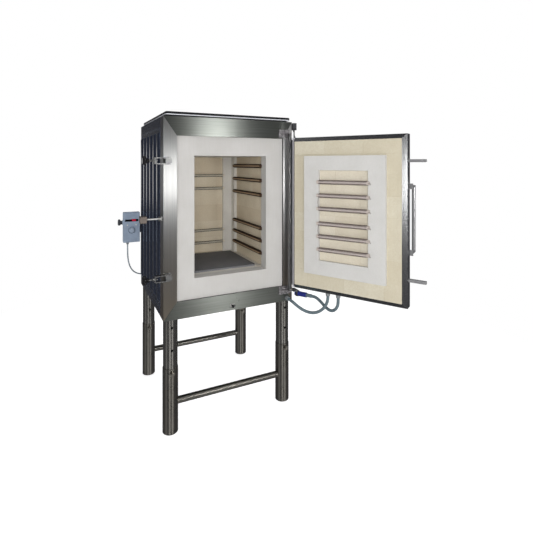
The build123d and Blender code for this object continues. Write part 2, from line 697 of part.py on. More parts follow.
nodes["pivot_pins"] = group(*pins, lock_hole)
eye = rod((lock_x, lock_y, lock_z - LOCK_ROD_D / 2), (lock_x, lock_y, lock_z + LOCK_ROD_D / 2), LOCK_EYE_D)
lock_rod = eye + rod((lock_x, lock_y, lock_z), (lock_x - LOCK_ROD, lock_y, lock_z), LOCK_ROD_D)
lock_rod -= rod((lock_x, lock_y, lock_z - lug_half), (lock_x, lock_y, lock_z + lug_half),
                lock_pin_d + 2 * HINGE_PIN_GAP)
lock_half = LOCK_BLOCK / 2
lock_block = block(lock_x - LOCK_ROD - LOCK_BLOCK, lock_x - LOCK_ROD, lock_y - lock_half, lock_y + lock_half,
                   lock_z - lock_half, lock_z + lock_half)
nodes["lock_arm"] = group(lock_rod, chamfer(lock_block.edges(), 2))

# Door switch: a small housing on an angle, and a sprung lever with a roller
switch_y = FRONT - SWITCH_SET
switch_z = BASE + SWITCH_LOW
switch_x = SIDE + SWITCH_OUT
lever_x = switch_x + SWITCH_W / 2
lever_y = switch_y + SWITCH_D / 2
pivot_z = switch_z - LEVER_W / 2 - RUN_GAP
lever_low = pivot_z - LEVER_L
tab_x = lever_x - LEVER_T / 2 - RUN_GAP
switch_body = block(switch_x, switch_x + SWITCH_W, switch_y, switch_y + SWITCH_D,
                    switch_z, switch_z + SWITCH_H)
switch_body = chamfer(switch_body.edges().filter_by(Axis.Z), SWITCH_EDGE - 1)
switch_body += block(tab_x - LEVER_TAB_T, tab_x, lever_y - LEVER_W / 2, lever_y + LEVER_W / 2,
                     pivot_z - LEVER_W / 2, switch_z)
switch_body += rod((tab_x, lever_y, pivot_z), (lever_x + LEVER_T / 2, lever_y, pivot_z), LEVER_PIN_D)
switch_angle = block(SIDE, switch_x, switch_y, FRONT + FRAME_WRAP / 2, switch_z + SWITCH_EDGE,
                     switch_z + SWITCH_H - SWITCH_EDGE)
nodes["switch_body"] = group(switch_body, switch_angle)
lever = block(lever_x - LEVER_T / 2, lever_x + LEVER_T / 2, lever_y - LEVER_W / 2, lever_y + LEVER_W / 2,
              lever_low, pivot_z)
lever += rod((lever_x - LEVER_T / 2, lever_y, pivot_z), (lever_x + LEVER_T / 2, lever_y, pivot_z), LEVER_W)
lever += rod((lever_x, lever_y, lever_low), (lever_x + LEVER_T / 2 + ROLLER_T, lever_y, lever_low), ROLLER_D)
lever -= rod((tab_x, lever_y, pivot_z), (lever_x + LEVER_T, lever_y, pivot_z),
             LEVER_PIN_D + 2 * HINGE_PIN_GAP)
nodes["switch_lever"] = lever

# Air slide: a rod and knob through the bottom of the frame
air_knob_y = FRONT - AIR_OUT
air_end = PANEL_FACE + AIR_REACH
air_bore = AIR_ROD_D + 2 * HINGE_PIN_GAP
nodes["front_panel"] -= rod((0, PANEL_FACE, air_z), (0, air_end + RUN_GAP, air_z), air_bore)
air_rod = rod((0, air_knob_y, air_z), (0, air_end, air_z), AIR_ROD_D)
air_knob = rod((0, air_knob_y - AIR_KNOB_T, air_z), (0, air_knob_y, air_z), AIR_KNOB_D)
nodes["air_slide"] = group(air_rod, air_knob)

# Controller in its holder, on the left near the rear
case_x1 = -SIDE - CASE_OUT
case_x0 = case_x1 - CASE_W
case_mid = (case_x0 + case_x1) / 2
case_y0 = BACK - CASE_BACK
case_y1 = case_y0 + CASE_D
case_z0, case_z1 = BASE + CASE_LOW, BASE + CASE_LOW + CASE_H
case = block(case_x0, case_x1, case_y0 + FACE_T, case_y1, case_z0, case_z1)
case = fillet(case.edges().filter_by(Axis.Y), CASE_CORNER)
face_plane = Plane((case_mid, case_y0 + FACE_T, (case_z0 + case_z1) / 2), x_dir=(1, 0, 0), z_dir=(0, -1, 0))
face_shape = RectangleRounded(CASE_W - 2 * FACE_EDGE, CASE_H - 2 * FACE_EDGE, CASE_CORNER - FACE_EDGE)
face = extrude(face_plane * face_shape, FACE_T)
window_z = BASE + WINDOW_Z
window = block(case_mid - WINDOW_W / 2, case_mid + WINDOW_W / 2, case_y0, case_y0 + FACE_T / 2,
               window_z - WINDOW_H / 2, window_z + WINDOW_H / 2)
key_z = BASE + KEY_Z
key_xs = (case_mid - KEY_SPREAD / 2, case_mid + KEY_SPREAD / 2)
dial_z = BASE + DIAL_Z
face -= window
for x in key_xs:
    face -= rod((x, case_y0, key_z), (x, case_y0 + FACE_T, key_z), KEY_D + 2 * RUN_GAP)
for x, name in zip(key_xs, ("left", "right")):
    nodes["key_" + name] = rod((x, case_y0 - 2, key_z), (x, case_y0 + FACE_T - 1.2, key_z), KEY_D)
ring = pipe((case_mid, case_y0 - DIAL_RING_T, dial_z), (case_mid, case_y0, dial_z),
            DIAL_RING_D, DIAL_D + 2 * RUN_GAP)
nodes["controller_face"] = group(face, ring, window)
dial = rod((case_mid, case_y0 - DIAL_T, dial_z), (case_mid, case_y0 - RUN_GAP, dial_z), DIAL_D)
nodes["controller_dial"] = chamfer(dial.edges().sort_by(Axis.Y)[0], 2)
main_z = BASE + MAIN_KNOB_Z
main_y = (case_y0 + case_y1 + FACE_T) / 2
main_base = rod((case_x0 - MAIN_BASE_T, main_y, main_z), (case_x0, main_y, main_z), MAIN_BASE_D)
nodes["controller_case"] = case + main_base
main_knob = Plane((case_x0 - MAIN_BASE_T - RUN_GAP, main_y, main_z), z_dir=(-1, 0, 0)) * star_knob(
    MAIN_KNOB_D, MAIN_KNOB_D / 2, MAIN_KNOB_T, 3)
nodes["main_switch_knob"] = main_knob
holder_z = (case_z0 + HOLDER_LOW, case_z1 - HOLDER_LOW)
holder = block(case_x0 + HOLDER_EDGE, -SKIN, case_y1, case_y1 + HOLDER_T, *holder_z)
holder += block(-SKIN - HOLDER_T, -SKIN, case_y1, case_y1 + HOLDER_TAB, *holder_z)
nodes["controller_holder"] = holder

# Rear gear: switchgear housing, flue and temperature probe
housing_z = (BASE + HOUSING_LOW, BASE + HOUSING_LOW + HOUSING_H)
housing = block(-HOUSING_W / 2, HOUSING_W / 2, BACK, BACK + HOUSING_D, *housing_z)
housing = fillet(housing.faces().sort_by(Axis.Y)[-1].edges(), HOUSING_CORNER)
for i in range(HOUSING_SLOTS):
    z = housing_z[1] - SLOT_TOP - i * SLOT_PITCH
    housing -= block(-HOUSING_W / 4, HOUSING_W / 4, BACK + HOUSING_D - SLOT_DEPTH, BACK + HOUSING_D,
                     z, z + SLOT_H)
nodes["switchgear_housing"] = housing
flue_z = BASE + FLUE_Z
plate_half = FLUE_PLATE / 2
flue = rod((FLUE_X, CHAMBER_REAR + RECESS, flue_z), (FLUE_X, BACK + FLUE_OUT, flue_z), FLUE_D)
flue += block(FLUE_X - plate_half, FLUE_X + plate_half, BACK, BACK + SHEET,
              flue_z - plate_half, flue_z + plate_half)
flue -= rod((FLUE_X, CHAMBER_REAR, flue_z), (FLUE_X, BACK + FLUE_OUT, flue_z), FLUE_D - 2 * FLUE_WALL)
nodes["flue_pipe"] = flue
probe_z = BASE + PROBE_Z
neck_end = BACK + PROBE_NECK
probe = rod((PROBE_X, probe_y, probe_z), (PROBE_X, neck_end, probe_z), PROBE_D)
head = rod((PROBE_X, neck_end, probe_z), (PROBE_X, neck_end + PROBE_HEAD_L, probe_z), PROBE_HEAD_D)
nodes["thermocouple"] = group(probe, head)


def cord(points, diameter):
    """A cord: straight runs joined by tangent arcs as large as the runs allow."""
    radii = []
    for a, b, c in zip(points, points[1:], points[2:]):
        turn = (b - a).get_angle(c - b)
        shorter = min((b - a).length, (c - b).length)
        radii.append(0.45 * shorter / tan(radians(turn) / 2))
    path = FilletPolyline(*points, radius=radii)
    tube = sweep(Plane(origin=path @ 0, z_dir=path % 0) * Circle(diameter / 2), path=path)
    share = tube.volume / (pi * diameter ** 2 / 4 * path.length)
    print("cord length", round(path.length), "share", round(share, 4), "radii", [round(r) for r in radii])
    return tube


def gland(start, end, diameter):
    """A cord gland: a round body with a hexagon nut at its foot."""
    start, end = Vector(start), Vector(end)
    nut = Plane(origin=start, z_dir=end - start) * extrude(RegularPolygon(diameter / 2 + 2, 6), GLAND_NUT)
    return rod(start, end, diameter) + nut


# Plug at the hinge corner: an angle on the side of the frame with a clip round the plug
turn = radians(DOOR_OPEN)
along = Vector(-cos(turn), -sin(turn), 0)
plug_x = SIDE + PLUG_OUT
plug_start = Vector(plug_x, FRONT - PLUG_Y, BASE + PLUG_Z)
plug_end = plug_start + along * PLUG_L
adaptor_end = plug_end + along * ADAPTOR_L
nodes["conduit_plug"] = rod(plug_start, plug_end, PLUG_D)
nodes["plug_adaptor"] = rod(plug_end, adaptor_end, ADAPTOR_D)
ear_z = BASE + PLUG_Z + PLUG_D / 2
ear = block(SIDE, plug_x + EAR_REACH, FRONT - EAR_FRONT, FRONT + EAR_REAR, ear_z, ear_z + EAR_T)
ear += block(SIDE, SIDE + EAR_T, FRONT, FRONT + EAR_REAR, ear_z, ear_z + EAR_H)
clip = rod(plug_start + along * CLIP_FROM, plug_start + along * (CLIP_FROM + CLIP_W), PLUG_D + 2 * CLIP_T)
nodes["plug_bracket"] = ear + clip - rod(plug_start, plug_end, PLUG_D)

# Glands where cords leave the casing, the controller and the door
low_gland = (SIDE - LOW_GLAND_IN, FRONT, BASE + LOW_GLAND_Z)
cable_gland = (case_x0 + CABLE_IN, case_y0 + CABLE_SET, BASE + CASE_LOW)
box_gland = (-HOUSING_W / 2, BACK + BOX_GLAND_Y, BASE + BOX_GLAND_Z)
mains_gland = (HOUSING_W / 4, BACK + HOUSING_D / 2, housing_z[0])
glands = [
    gland(low_gland, (low_gland[0], low_gland[1] - GLAND_L, low_gland[2]), GLAND_D),
    gland(cable_gland, (cable_gland[0], cable_gland[1], cable_gland[2] - SMALL_GLAND_L), SMALL_GLAND_D),
    gland(box_gland, (box_gland[0] - SMALL_GLAND_L, box_gland[1], box_gland[2]), SMALL_GLAND_D),
    gland(mains_gland, (mains_gland[0], mains_gland[1], mains_gland[2] - GLAND_L), GLAND_D),
]
nodes["cord_glands"] = group(*glands)
door_glands, door_exits = [], []
for t in DOOR_GLANDS:
    x, y = half_w - t, DOOR_FACE - DOOR_T / 2
    door_glands.append(opened(gland((x, y, DOOR_LOW), (x, y, DOOR_LOW - GLAND_L), GLAND_D)))
    reach = Vector(x - HINGE_X, y - HINGE_Y, 0).rotate(Axis.Z, DOOR_OPEN)
    door_exits.append(Vector(HINGE_X, HINGE_Y, DOOR_LOW - GLAND_L) + reach)
nodes["door_glands"] = group(*door_glands)


def between(start, start_dir, origin, middle, end, end_dir, lead):
    """A route's points: straight out of one end, through the middle and straight into the other end."""
    inner = [origin + Vector(*point) for point in middle]
    return [start, start + start_dir * lead, *inner, end + end_dir * lead, end]


# Conduits from the casing to the door, with points measured from the casing's lower hinge corner
down = Vector(0, 0, -1)
forward = Vector(0, -1, 0)
hinge_corner = Vector(SIDE, FRONT, BASE)
low_middle = [(-31, -64, 12), (-21, -86, 0), (-7, -106, -14), (10, -124, -26), (29, -141, -34),
              (49, -158, -37), (69, -177, -32), (86, -195, -18), (99, -212, 3), (108, -225, 29)]
high_middle = [(100, -138, 36), (108, -159, 24), (114, -181, 10), (120, -204, -3), (126, -228, -11),
               (133, -252, -8), (140, -271, 7), (145, -284, 30)]
low_start = Vector(low_gland) + forward * GLAND_L
low_route = between(low_start, forward, hinge_corner, low_middle, door_exits[0], down, LEAD)
high_route = between(adaptor_end, along, hinge_corner, high_middle, door_exits[1], down, LEAD)
nodes["conduit_low"] = cord(low_route, CONDUIT_D)
nodes["conduit_high"] = cord(high_route, CONDUIT_D)

# The controller's cable, with points measured from the casing's lower left rear corner
rear_corner = Vector(-SIDE, BACK, BASE)
cable_middle = [(-96, -47, 210), (-86, -32, 155), (-66, -12, 110), (-36, 10, 78), (2, 29, 60),
                (48, 43, 54), (94, 52, 60)]
outward = Vector(-1, 0, 0)
cable_start = Vector(cable_gland) + down * SMALL_GLAND_L
cable_end = Vector(box_gland) + outward * SMALL_GLAND_L
cable_route = between(cable_start, down, rear_corner, cable_middle, cable_end, outward, CABLE_LEAD)
nodes["controller_cable"] = cord(cable_route, CABLE_D)

for name, shape in nodes.items():
    print(name, len(shape.solids()), round(shape.volume), [round(v) for v in shape.bounding_box().size])
os.makedirs("parts", exist_ok=True)
for name, shape in nodes.items():
    export_step(shape, "parts/" + name + ".step")
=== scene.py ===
import bmesh
import bpy
from math import cos, pi, radians, sin
from mathutils import Matrix, Vector


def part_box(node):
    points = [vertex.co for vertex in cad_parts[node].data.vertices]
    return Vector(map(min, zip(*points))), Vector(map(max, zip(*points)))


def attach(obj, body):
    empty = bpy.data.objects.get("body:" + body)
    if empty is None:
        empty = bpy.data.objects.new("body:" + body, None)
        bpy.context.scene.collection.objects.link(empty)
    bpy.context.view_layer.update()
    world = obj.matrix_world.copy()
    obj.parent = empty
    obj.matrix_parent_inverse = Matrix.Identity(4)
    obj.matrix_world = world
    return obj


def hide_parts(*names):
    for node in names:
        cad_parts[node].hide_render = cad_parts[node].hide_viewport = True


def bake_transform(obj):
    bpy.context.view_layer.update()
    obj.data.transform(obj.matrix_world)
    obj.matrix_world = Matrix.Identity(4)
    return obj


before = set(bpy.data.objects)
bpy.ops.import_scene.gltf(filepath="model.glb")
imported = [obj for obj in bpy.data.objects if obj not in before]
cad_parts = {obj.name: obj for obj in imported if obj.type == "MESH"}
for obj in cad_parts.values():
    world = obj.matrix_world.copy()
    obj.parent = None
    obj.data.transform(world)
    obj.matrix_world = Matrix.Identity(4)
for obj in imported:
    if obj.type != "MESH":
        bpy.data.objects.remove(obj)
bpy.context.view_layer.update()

# Studio: the kiln stands on a pale floor in front of a white background, seen from the left of its
# open door. A square softbox right of the camera is mirrored in the brushed steel. Wide soft lamps
# in front, at both sides, above and behind light the lining and the casing, and aren't mirrored.
scene = bpy.context.scene
scene.view_settings.view_transform = "Standard"
CAMERA_PLACE = (-0.8471, -2.5698, 1.4887)
CAMERA_TURN = -26.116
CAMERA_LENS = 26.81
CAMERA_SHIFT = -0.1936
camera_data = bpy.data.cameras.new("camera")
camera_data.lens = CAMERA_LENS
camera_data.shift_y = CAMERA_SHIFT
camera = bpy.data.objects.new("camera", camera_data)
camera.location = CAMERA_PLACE
camera.rotation_euler = (radians(90), 0, radians(CAMERA_TURN))
scene.collection.objects.link(camera)
scene.camera = camera


def feed(tree, socket, value):
    """Give a socket another node's output, or a plain value."""
    if isinstance(value, bpy.types.NodeSocket):
        tree.links.new(value, socket)
    else:
        socket.default_value = value


def add(tree, kind, **values):
    """A node with its inputs filled by name, an underscore for a space, or its settings."""
    made = tree.nodes.new(kind)
    for key, value in values.items():
        label = key.replace("_", " ")
        if label in made.inputs:
            feed(tree, made.inputs[label], value)
        else:
            setattr(made, key, value)
    return made


def calc(tree, operation, *terms):
    """A Math node's result."""
    made = tree.nodes.new("ShaderNodeMath")
    made.operation = operation
    for socket, term in zip(made.inputs, terms):
        feed(tree, socket, term)
    return made.outputs[0]


def shade(tree, factor, low, high):
    """A colour between two others."""
    made = tree.nodes.new("ShaderNodeMix")
    made.data_type = "RGBA"
    feed(tree, made.inputs[0], factor)
    feed(tree, made.inputs[6], low)
    feed(tree, made.inputs[7], high)
    return made.outputs[2]


def spread(tree, value, low, high, to_low, to_high):
    """A value moved from one range to another, and held inside it."""
    made = tree.nodes.new("ShaderNodeMapRange")
    for socket, term in zip(made.inputs, (value, low, high, to_low, to_high)):
        feed(tree, socket, term)
    return made.outputs[0]


def soft_lamp(name, place, aim, width, height, power, mirrored=True):
    """A rectangular softbox that faces a point, and that metal mirrors or not."""
    data = bpy.data.lights.new(name, "AREA")
    data.shape = "RECTANGLE"
    data.size = width
    data.size_y = height
    data.energy = power
    made = bpy.data.objects.new(name, data)
    made.location = place
    made.rotation_euler = (Vector(aim) - Vector(place)).to_track_quat("-Z", "Y").to_euler()
    made.visible_glossy = mirrored
    scene.collection.objects.link(made)


soft_lamp("softbox_key", (1.14, -4.0, 1.25), (0.0, 0.0, 1.2), 0.46, 0.54, 27)
soft_lamp("fill_front", (-1.5, -3.9, 1.6), (0.0, 0.0, 1.15), 1.6, 1.4, 68, False)
soft_lamp("fill_left", (-3.0, -2.4, 1.8), (0.0, 0.0, 1.1), 1.6, 1.4, 14, False)
soft_lamp("fill_top", (0.3, -1.2, 4.2), (0.0, 0.0, 1.2), 2.4, 1.6, 18, False)
soft_lamp("fill_rear", (0.5, 3.9, 2.0), (0.0, 0.0, 1.1), 2.0, 1.6, 46, False)
soft_lamp("fill_right", (3.6, 1.3, 1.9), (0.3, 0.0, 1.1), 1.6, 1.6, 30, False)

world = bpy.data.worlds.new("studio")
world.use_nodes = True
scene.world = world
sky = world.node_tree
path = add(sky, "ShaderNodeLightPath")
direction = add(sky, "ShaderNodeSeparateXYZ", Vector=add(sky, "ShaderNodeTexCoord").outputs["Generated"])
rise = direction.outputs["Z"]
heading = calc(sky, "ARCTAN2", direction.outputs["Y"], direction.outputs["X"])
# Steel mirrors a dark room with bright places, each given by the direction in which it lies: a share
# of the way up (rise), or to the rear, and an angle about the upright (heading), in degrees
ROOM = (0.32, 0.32, 0.33, 1.0)
DARK_ROOM = (0.07, 0.07, 0.075, 1.0)
WHITE = (1.0, 1.0, 1.0, 1.0)
WALL_FOOT = (-0.11, -0.05)
WALL_STRENGTH = 2.2
GLOW_FOOT = (-0.32, -0.12)
GLOW_STRENGTH = 0.14
WALL_TOP = (0.0, 0.05)
WALL_NEAR_END = (108, 114)
WALL_FAR_END = (30, 50)
FRONT_CEILING = {"middle": 0.77, "core": 0.04, "edge": 0.12, "strength": 0.9}
FRONT_CEILING_REACH = (-0.4, -0.2)
REAR_CEILING = {"middle": 0.87, "core": 0.02, "edge": 0.06, "strength": 1.0}
REAR_CEILING_REACH = (0.3, 0.4)
LOW_TOP = (-0.34, -0.2)
LOW_STRIPS = ((-111, 9, 1.1), (-68, 12, 0.8), (-165, 14, 0.3))
SLIT_HEADING = -57
SLIT_WIDTH = (2, 4.5)
SLIT_STRENGTH = 1.3
SLIT_RISE = (0.06, 0.16)


def band(value, middle, core, edge, strength):
    """A bright band about one value, even in its core and fading out to its edge."""
    off = calc(sky, "ABSOLUTE", calc(sky, "SUBTRACT", value, middle))
    return spread(sky, off, core, edge, strength, 0.0)


rising = spread(sky, rise, *WALL_FOOT, 0.0, WALL_STRENGTH)
glow = spread(sky, rise, *GLOW_FOOT, 0.0, GLOW_STRENGTH)
wall = calc(sky, "MULTIPLY", calc(sky, "MAXIMUM", rising, glow), spread(sky, rise, *WALL_TOP, 1.0, 0.0))
near_end = spread(sky, heading, *[radians(angle) for angle in WALL_NEAR_END], 1.0, 0.0)
far_end = spread(sky, heading, *[radians(angle) for angle in WALL_FAR_END], 0.0, 1.0)
bright = calc(sky, "MULTIPLY", wall, calc(sky, "MULTIPLY", near_end, far_end))
for lamp, reach, ends in ((FRONT_CEILING, FRONT_CEILING_REACH, (1.0, 0.0)),
                          (REAR_CEILING, REAR_CEILING_REACH, (0.0, 1.0))):
    span = spread(sky, direction.outputs["Y"], *reach, *ends)
    bright = calc(sky, "MAXIMUM", bright, calc(sky, "MULTIPLY", band(rise, **lamp), span))
low = spread(sky, rise, *LOW_TOP, 1.0, 0.0)
for angle, width, strength in LOW_STRIPS:
    strip = band(heading, radians(angle), radians(width) / 4, radians(width), strength)
    bright = calc(sky, "MAXIMUM", bright, calc(sky, "MULTIPLY", strip, low))
slit_core, slit_edge = [radians(angle) for angle in SLIT_WIDTH]
slit = calc(sky, "MULTIPLY", band(heading, radians(SLIT_HEADING), slit_core, slit_edge, SLIT_STRENGTH),
            spread(sky, calc(sky, "ABSOLUTE", rise), *SLIT_RISE, 1.0, 0.0))
mirrored = calc(sky, "MULTIPLY", path.outputs["Is Glossy Ray"], calc(sky, "MAXIMUM", bright, slit))
clear = calc(sky, "MAXIMUM", path.outputs["Is Camera Ray"], path.outputs["Is Transmission Ray"])
room = shade(sky, path.outputs["Is Glossy Ray"], ROOM, DARK_ROOM)
backdrop = shade(sky, calc(sky, "MAXIMUM", clear, mirrored), room, WHITE)
feed(sky, sky.nodes["Background"].inputs["Color"], backdrop)

FLOOR_HALF = 14.0
FLOOR_GREY = (0.84, 0.84, 0.84, 1.0)
FLOOR_LIFT = 0.7
FLOOR_FADE = (0.9, 2.6)
floor_mesh = bpy.data.meshes.new("studio_floor")
floor_corners = [(x, y, 0) for x, y in ((-1, -1), (1, -1), (1, 1), (-1, 1))]
floor_mesh.from_pydata([Vector(c) * FLOOR_HALF for c in floor_corners], [], [(0, 1, 2, 3)])
floor = bpy.data.objects.new("studio_floor", floor_mesh)
floor.visible_glossy = False
scene.collection.objects.link(floor)
floor_paint = bpy.data.materials.new("pale_floor")
floor_paint.use_nodes = True
tree = floor_paint.node_tree
shader = tree.nodes["Principled BSDF"]
shader.inputs["Base Color"].default_value = FLOOR_GREY
shader.inputs["Roughness"].default_value = 0.9
away = add(tree, "ShaderNodeVectorMath", operation="LENGTH")
feed(tree, away.inputs[0], add(tree, "ShaderNodeTexCoord").outputs["Object"])
# The camera sees the paint lightened, and further out the floor fades into the white background
in_view = add(tree, "ShaderNodeLightPath").outputs["Is Camera Ray"]
lift = add(tree, "ShaderNodeEmission", Color=WHITE, Strength=calc(tree, "MULTIPLY", in_view, FLOOR_LIFT))
near = add(tree, "ShaderNodeAddShader")
feed(tree, near.inputs[0], shader.outputs[0])
feed(tree, near.inputs[1], lift.outputs[0])
mixed = add(tree, "ShaderNodeMixShader")
faded = spread(tree, away.outputs["Value"], *FLOOR_FADE, 0.0, 1.0)
feed(tree, mixed.inputs[0], calc(tree, "MULTIPLY", faded, in_view))
feed(tree, mixed.inputs[1], near.outputs[0])
feed(tree, mixed.inputs[2], add(tree, "ShaderNodeEmission", Color=WHITE).outputs[0])
feed(tree, tree.nodes["Material Output"].inputs["Surface"], mixed.outputs[0])
floor_mesh.materials.append(floor_paint)

# Flexible conduits: two smooth grey plastic hoses that carry the door's heating leads from the
# casing's lower hinge corner to the glands under the door.
CONDUIT_D = 0.018
LOW_ROUTE = [
    (0.365, -0.4085, 0.647), (0.365, -0.4305, 0.647), (0.369, -0.4525, 0.642), (0.379, -0.4745, 0.63),
    (0.393, -0.4945, 0.616), (0.41, -0.5125, 0.604), (0.429, -0.5295, 0.596), (0.449, -0.5465, 0.593),
    (0.469, -0.5655, 0.598), (0.486, -0.5835, 0.612), (0.499, -0.6005, 0.633), (0.508, -0.6135, 0.659),
    (0.5129, -0.6197, 0.687), (0.5129, -0.6197, 0.709)]
HIGH_ROUTE = [
    (0.481, -0.4899, 0.672), (0.4922, -0.5088, 0.672), (0.5, -0.5265, 0.666), (0.508, -0.5475, 0.654),
    (0.514, -0.5695, 0.64), (0.52, -0.5925, 0.627), (0.526, -0.6165, 0.619), (0.533, -0.6405, 0.622),
    (0.54, -0.6595, 0.637), (0.545, -0.6725, 0.66), (0.546, -0.6757, 0.687), (0.546, -0.6757, 0.709)]


def srgb(red, green, blue):
    """A colour as it is read off a photograph, 0 to 255, as linear values."""
    parts = [value / 255 for value in (red, green, blue)]
    linear = [v / 12.92 if v < 0.04045 else ((v + 0.055) / 1.055) ** 2.4 for v in parts]
    return (*linear, 1.0)


def effect(name, inputs, outputs):
    """An empty node group for shaders, with its named inputs and outputs."""
    group = bpy.data.node_groups.new(name, "ShaderNodeTree")
    for label, (kind, value) in inputs.items():
        socket = group.interface.new_socket(label, in_out="INPUT", socket_type="NodeSocket" + kind)
        if value is not None:
            socket.default_value = value
    for label, kind in outputs.items():
        group.interface.new_socket(label, in_out="OUTPUT", socket_type="NodeSocket" + kind)
    return group, add(group, "NodeGroupInput").outputs, add(group, "NodeGroupOutput").inputs


def use(tree, group, **values):
    """Place an effect in a material, with its own values, and give its outputs."""
    made = add(tree, "ShaderNodeGroup", node_tree=group)
    for key, value in values.items():
        feed(tree, made.inputs[key.replace("_", " ")], value)
    return made.outputs


# clouds: soft uneven tone of a used surface, large patches with fine ones on top
clouds, given, result = effect(
    "clouds", {"Vector": ("Vector", None), "Size": ("Float", 0.1)}, {"Tone": "Float"})
fineness = calc(clouds, "DIVIDE", 1.0, given["Size"])
patches = add(clouds, "ShaderNodeTexNoise", Vector=given["Vector"], Scale=fineness, Detail=5.0,
              Roughness=0.6)
feed(clouds, result["Tone"], spread(clouds, patches.outputs["Fac"], 0.28, 0.72, 0.0, 1.0))


def clouded(tree, spot, patch):
    """The tone of the clouds at a spot, with patches of a given size."""
    return use(tree, clouds, Vector=spot, Size=patch)["Tone"]


def finish(name, roughness, metallic=0.0):
    """A new material: its node tree, its shader and the piece's own coordinates."""
    made = bpy.data.materials.new(name)
    made.use_nodes = True
    tree = made.node_tree
    shader = tree.nodes["Principled BSDF"]
    shader.inputs["Roughness"].default_value = roughness
    shader.inputs["Metallic"].default_value = metallic
    return made, tree, shader, add(tree, "ShaderNodeTexCoord").outputs["Object"]


def paint(tree, shader, colour):
    """Give a finish its colour."""
    feed(tree, shader.inputs["Base Color"], colour)


def relief(tree, shader, height, depth, strength=1.0):
    """Raise and sink the surface a little by a height between 0 and 1; depth in metres."""
    bump = add(tree, "ShaderNodeBump", Distance=depth, Strength=strength)
    feed(tree, bump.inputs["Height"], height)
    feed(tree, shader.inputs["Normal"], bump.outputs["Normal"])


def moulded(name, dark, light, roughness, patch=0.05, depth=0.0002):
    """Moulded plastic or rubber: an even colour, slightly clouded, with a fine skin."""
    made, tree, shader, spot = finish(name, roughness)
    tone = clouded(tree, spot, patch)
    paint(tree, shader, shade(tree, tone, srgb(*dark), srgb(*light)))
    skin = clouded(tree, spot, 0.0016)
    dull = spread(tree, tone, 0.0, 1.0, roughness - 0.06, roughness + 0.06)
    feed(tree, shader.inputs["Roughness"], dull)
    relief(tree, shader, skin, depth, 0.5)
    return made


def route_curve(name, points, diameter):
    """The smooth line of a cord, as a tube."""
    data = bpy.data.curves.new(name, "CURVE")
    data.dimensions = "3D"
    data.resolution_u = 8
    data.bevel_depth = diameter / 2
    data.bevel_resolution = 6
    data.use_fill_caps = True
    line = data.splines.new("NURBS")
    line.points.add(len(points) - 1)
    for point, place in zip(line.points, points):
        point.co = (*place, 1.0)
    line.order_u = 3
    line.use_endpoint_u = True
    made = bpy.data.objects.new(name, data)
    scene.collection.objects.link(made)
    return made


def plain_mesh(made, name):
    """Turn a curve or a modified object into a plain mesh object of that name."""
    bpy.context.view_layer.update()
    depsgraph = bpy.context.evaluated_depsgraph_get()
    solid = bpy.data.meshes.new_from_object(made.evaluated_get(depsgraph))
    bpy.data.objects.remove(made)
    result = bpy.data.objects.new(name, solid)
    scene.collection.objects.link(result)
    return result


def centre_line(points, name):
    """The points that a route's spline runs through."""
    thin = plain_mesh(route_curve(name, points, 0.0), name)
    line = [tuple(v.co) for v in thin.data.vertices]
    bpy.data.objects.remove(thin)
    return line


def even_faces(made):
    """Smooth shading for a round piece."""
    for face in made.data.polygons:
        face.use_smooth = True


hose_plastic = moulded("hose_plastic", (90, 104, 111), (114, 129, 135), 0.3)
for name, route, length, carried in (("conduit_low_hose", LOW_ROUTE, 0.347, "conduit_low"),
                                     ("conduit_high_hose", HIGH_ROUTE, 0.272, "conduit_high")):
    line = centre_line(route, name + "_line")
    hose = plain_mesh(route_curve(name + "_curve", route, CONDUIT_D), name)
    even_faces(hose)
    hose.data.materials.append(hose_plastic)
    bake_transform(hose)
    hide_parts(carried)

# Controller cable: a grey round cable that hangs from the hand controller and runs round the rear
# corner to the switchgear housing on the back of the casing.
CABLE_D = 0.009
CABLE_ROUTE = [
    (-0.498, 0.3325, 0.93), (-0.498, 0.3325, 0.894), (-0.496, 0.3415, 0.84), (-0.486, 0.3565, 0.785),
    (-0.466, 0.3765, 0.74), (-0.436, 0.3985, 0.708), (-0.398, 0.4175, 0.69), (-0.352, 0.4315, 0.684),
    (-0.306, 0.4405, 0.69), (-0.27, 0.4435, 0.704), (-0.234, 0.4435, 0.704)]
cable = route_curve("controller_lead", CABLE_ROUTE, CABLE_D)
cable_rubber = moulded("cable_rubber", (148, 158, 166), (168, 178, 186), 0.5, 0.04)
cable.data.materials.append(cable_rubber)
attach(cable, "kiln")
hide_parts("controller_cable")

# Stand: two welded frames of sleeve tubes and a round rail, of drawn grey steel, which slide on the
# four legs under the casing. A bolt in each sleeve grips the leg. The rails are duller between the
# sleeves, and painted darker there as painted shade.


def dress(material, *names):
    """Give CAD pieces a material."""
    for name in names:
        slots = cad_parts[name].data.materials
        slots.clear()
        slots.append(material)


def measure(tree, spot, axis):
    """A spot's measure along X, Y or Z."""
    return add(tree, "ShaderNodeSeparateXYZ", Vector=spot).outputs[axis]


RAIL_SHADE_GREY = (70, 70, 68)
RAIL_SHADE_SHARE = 0.45
SCUFF_DULL = 0.06


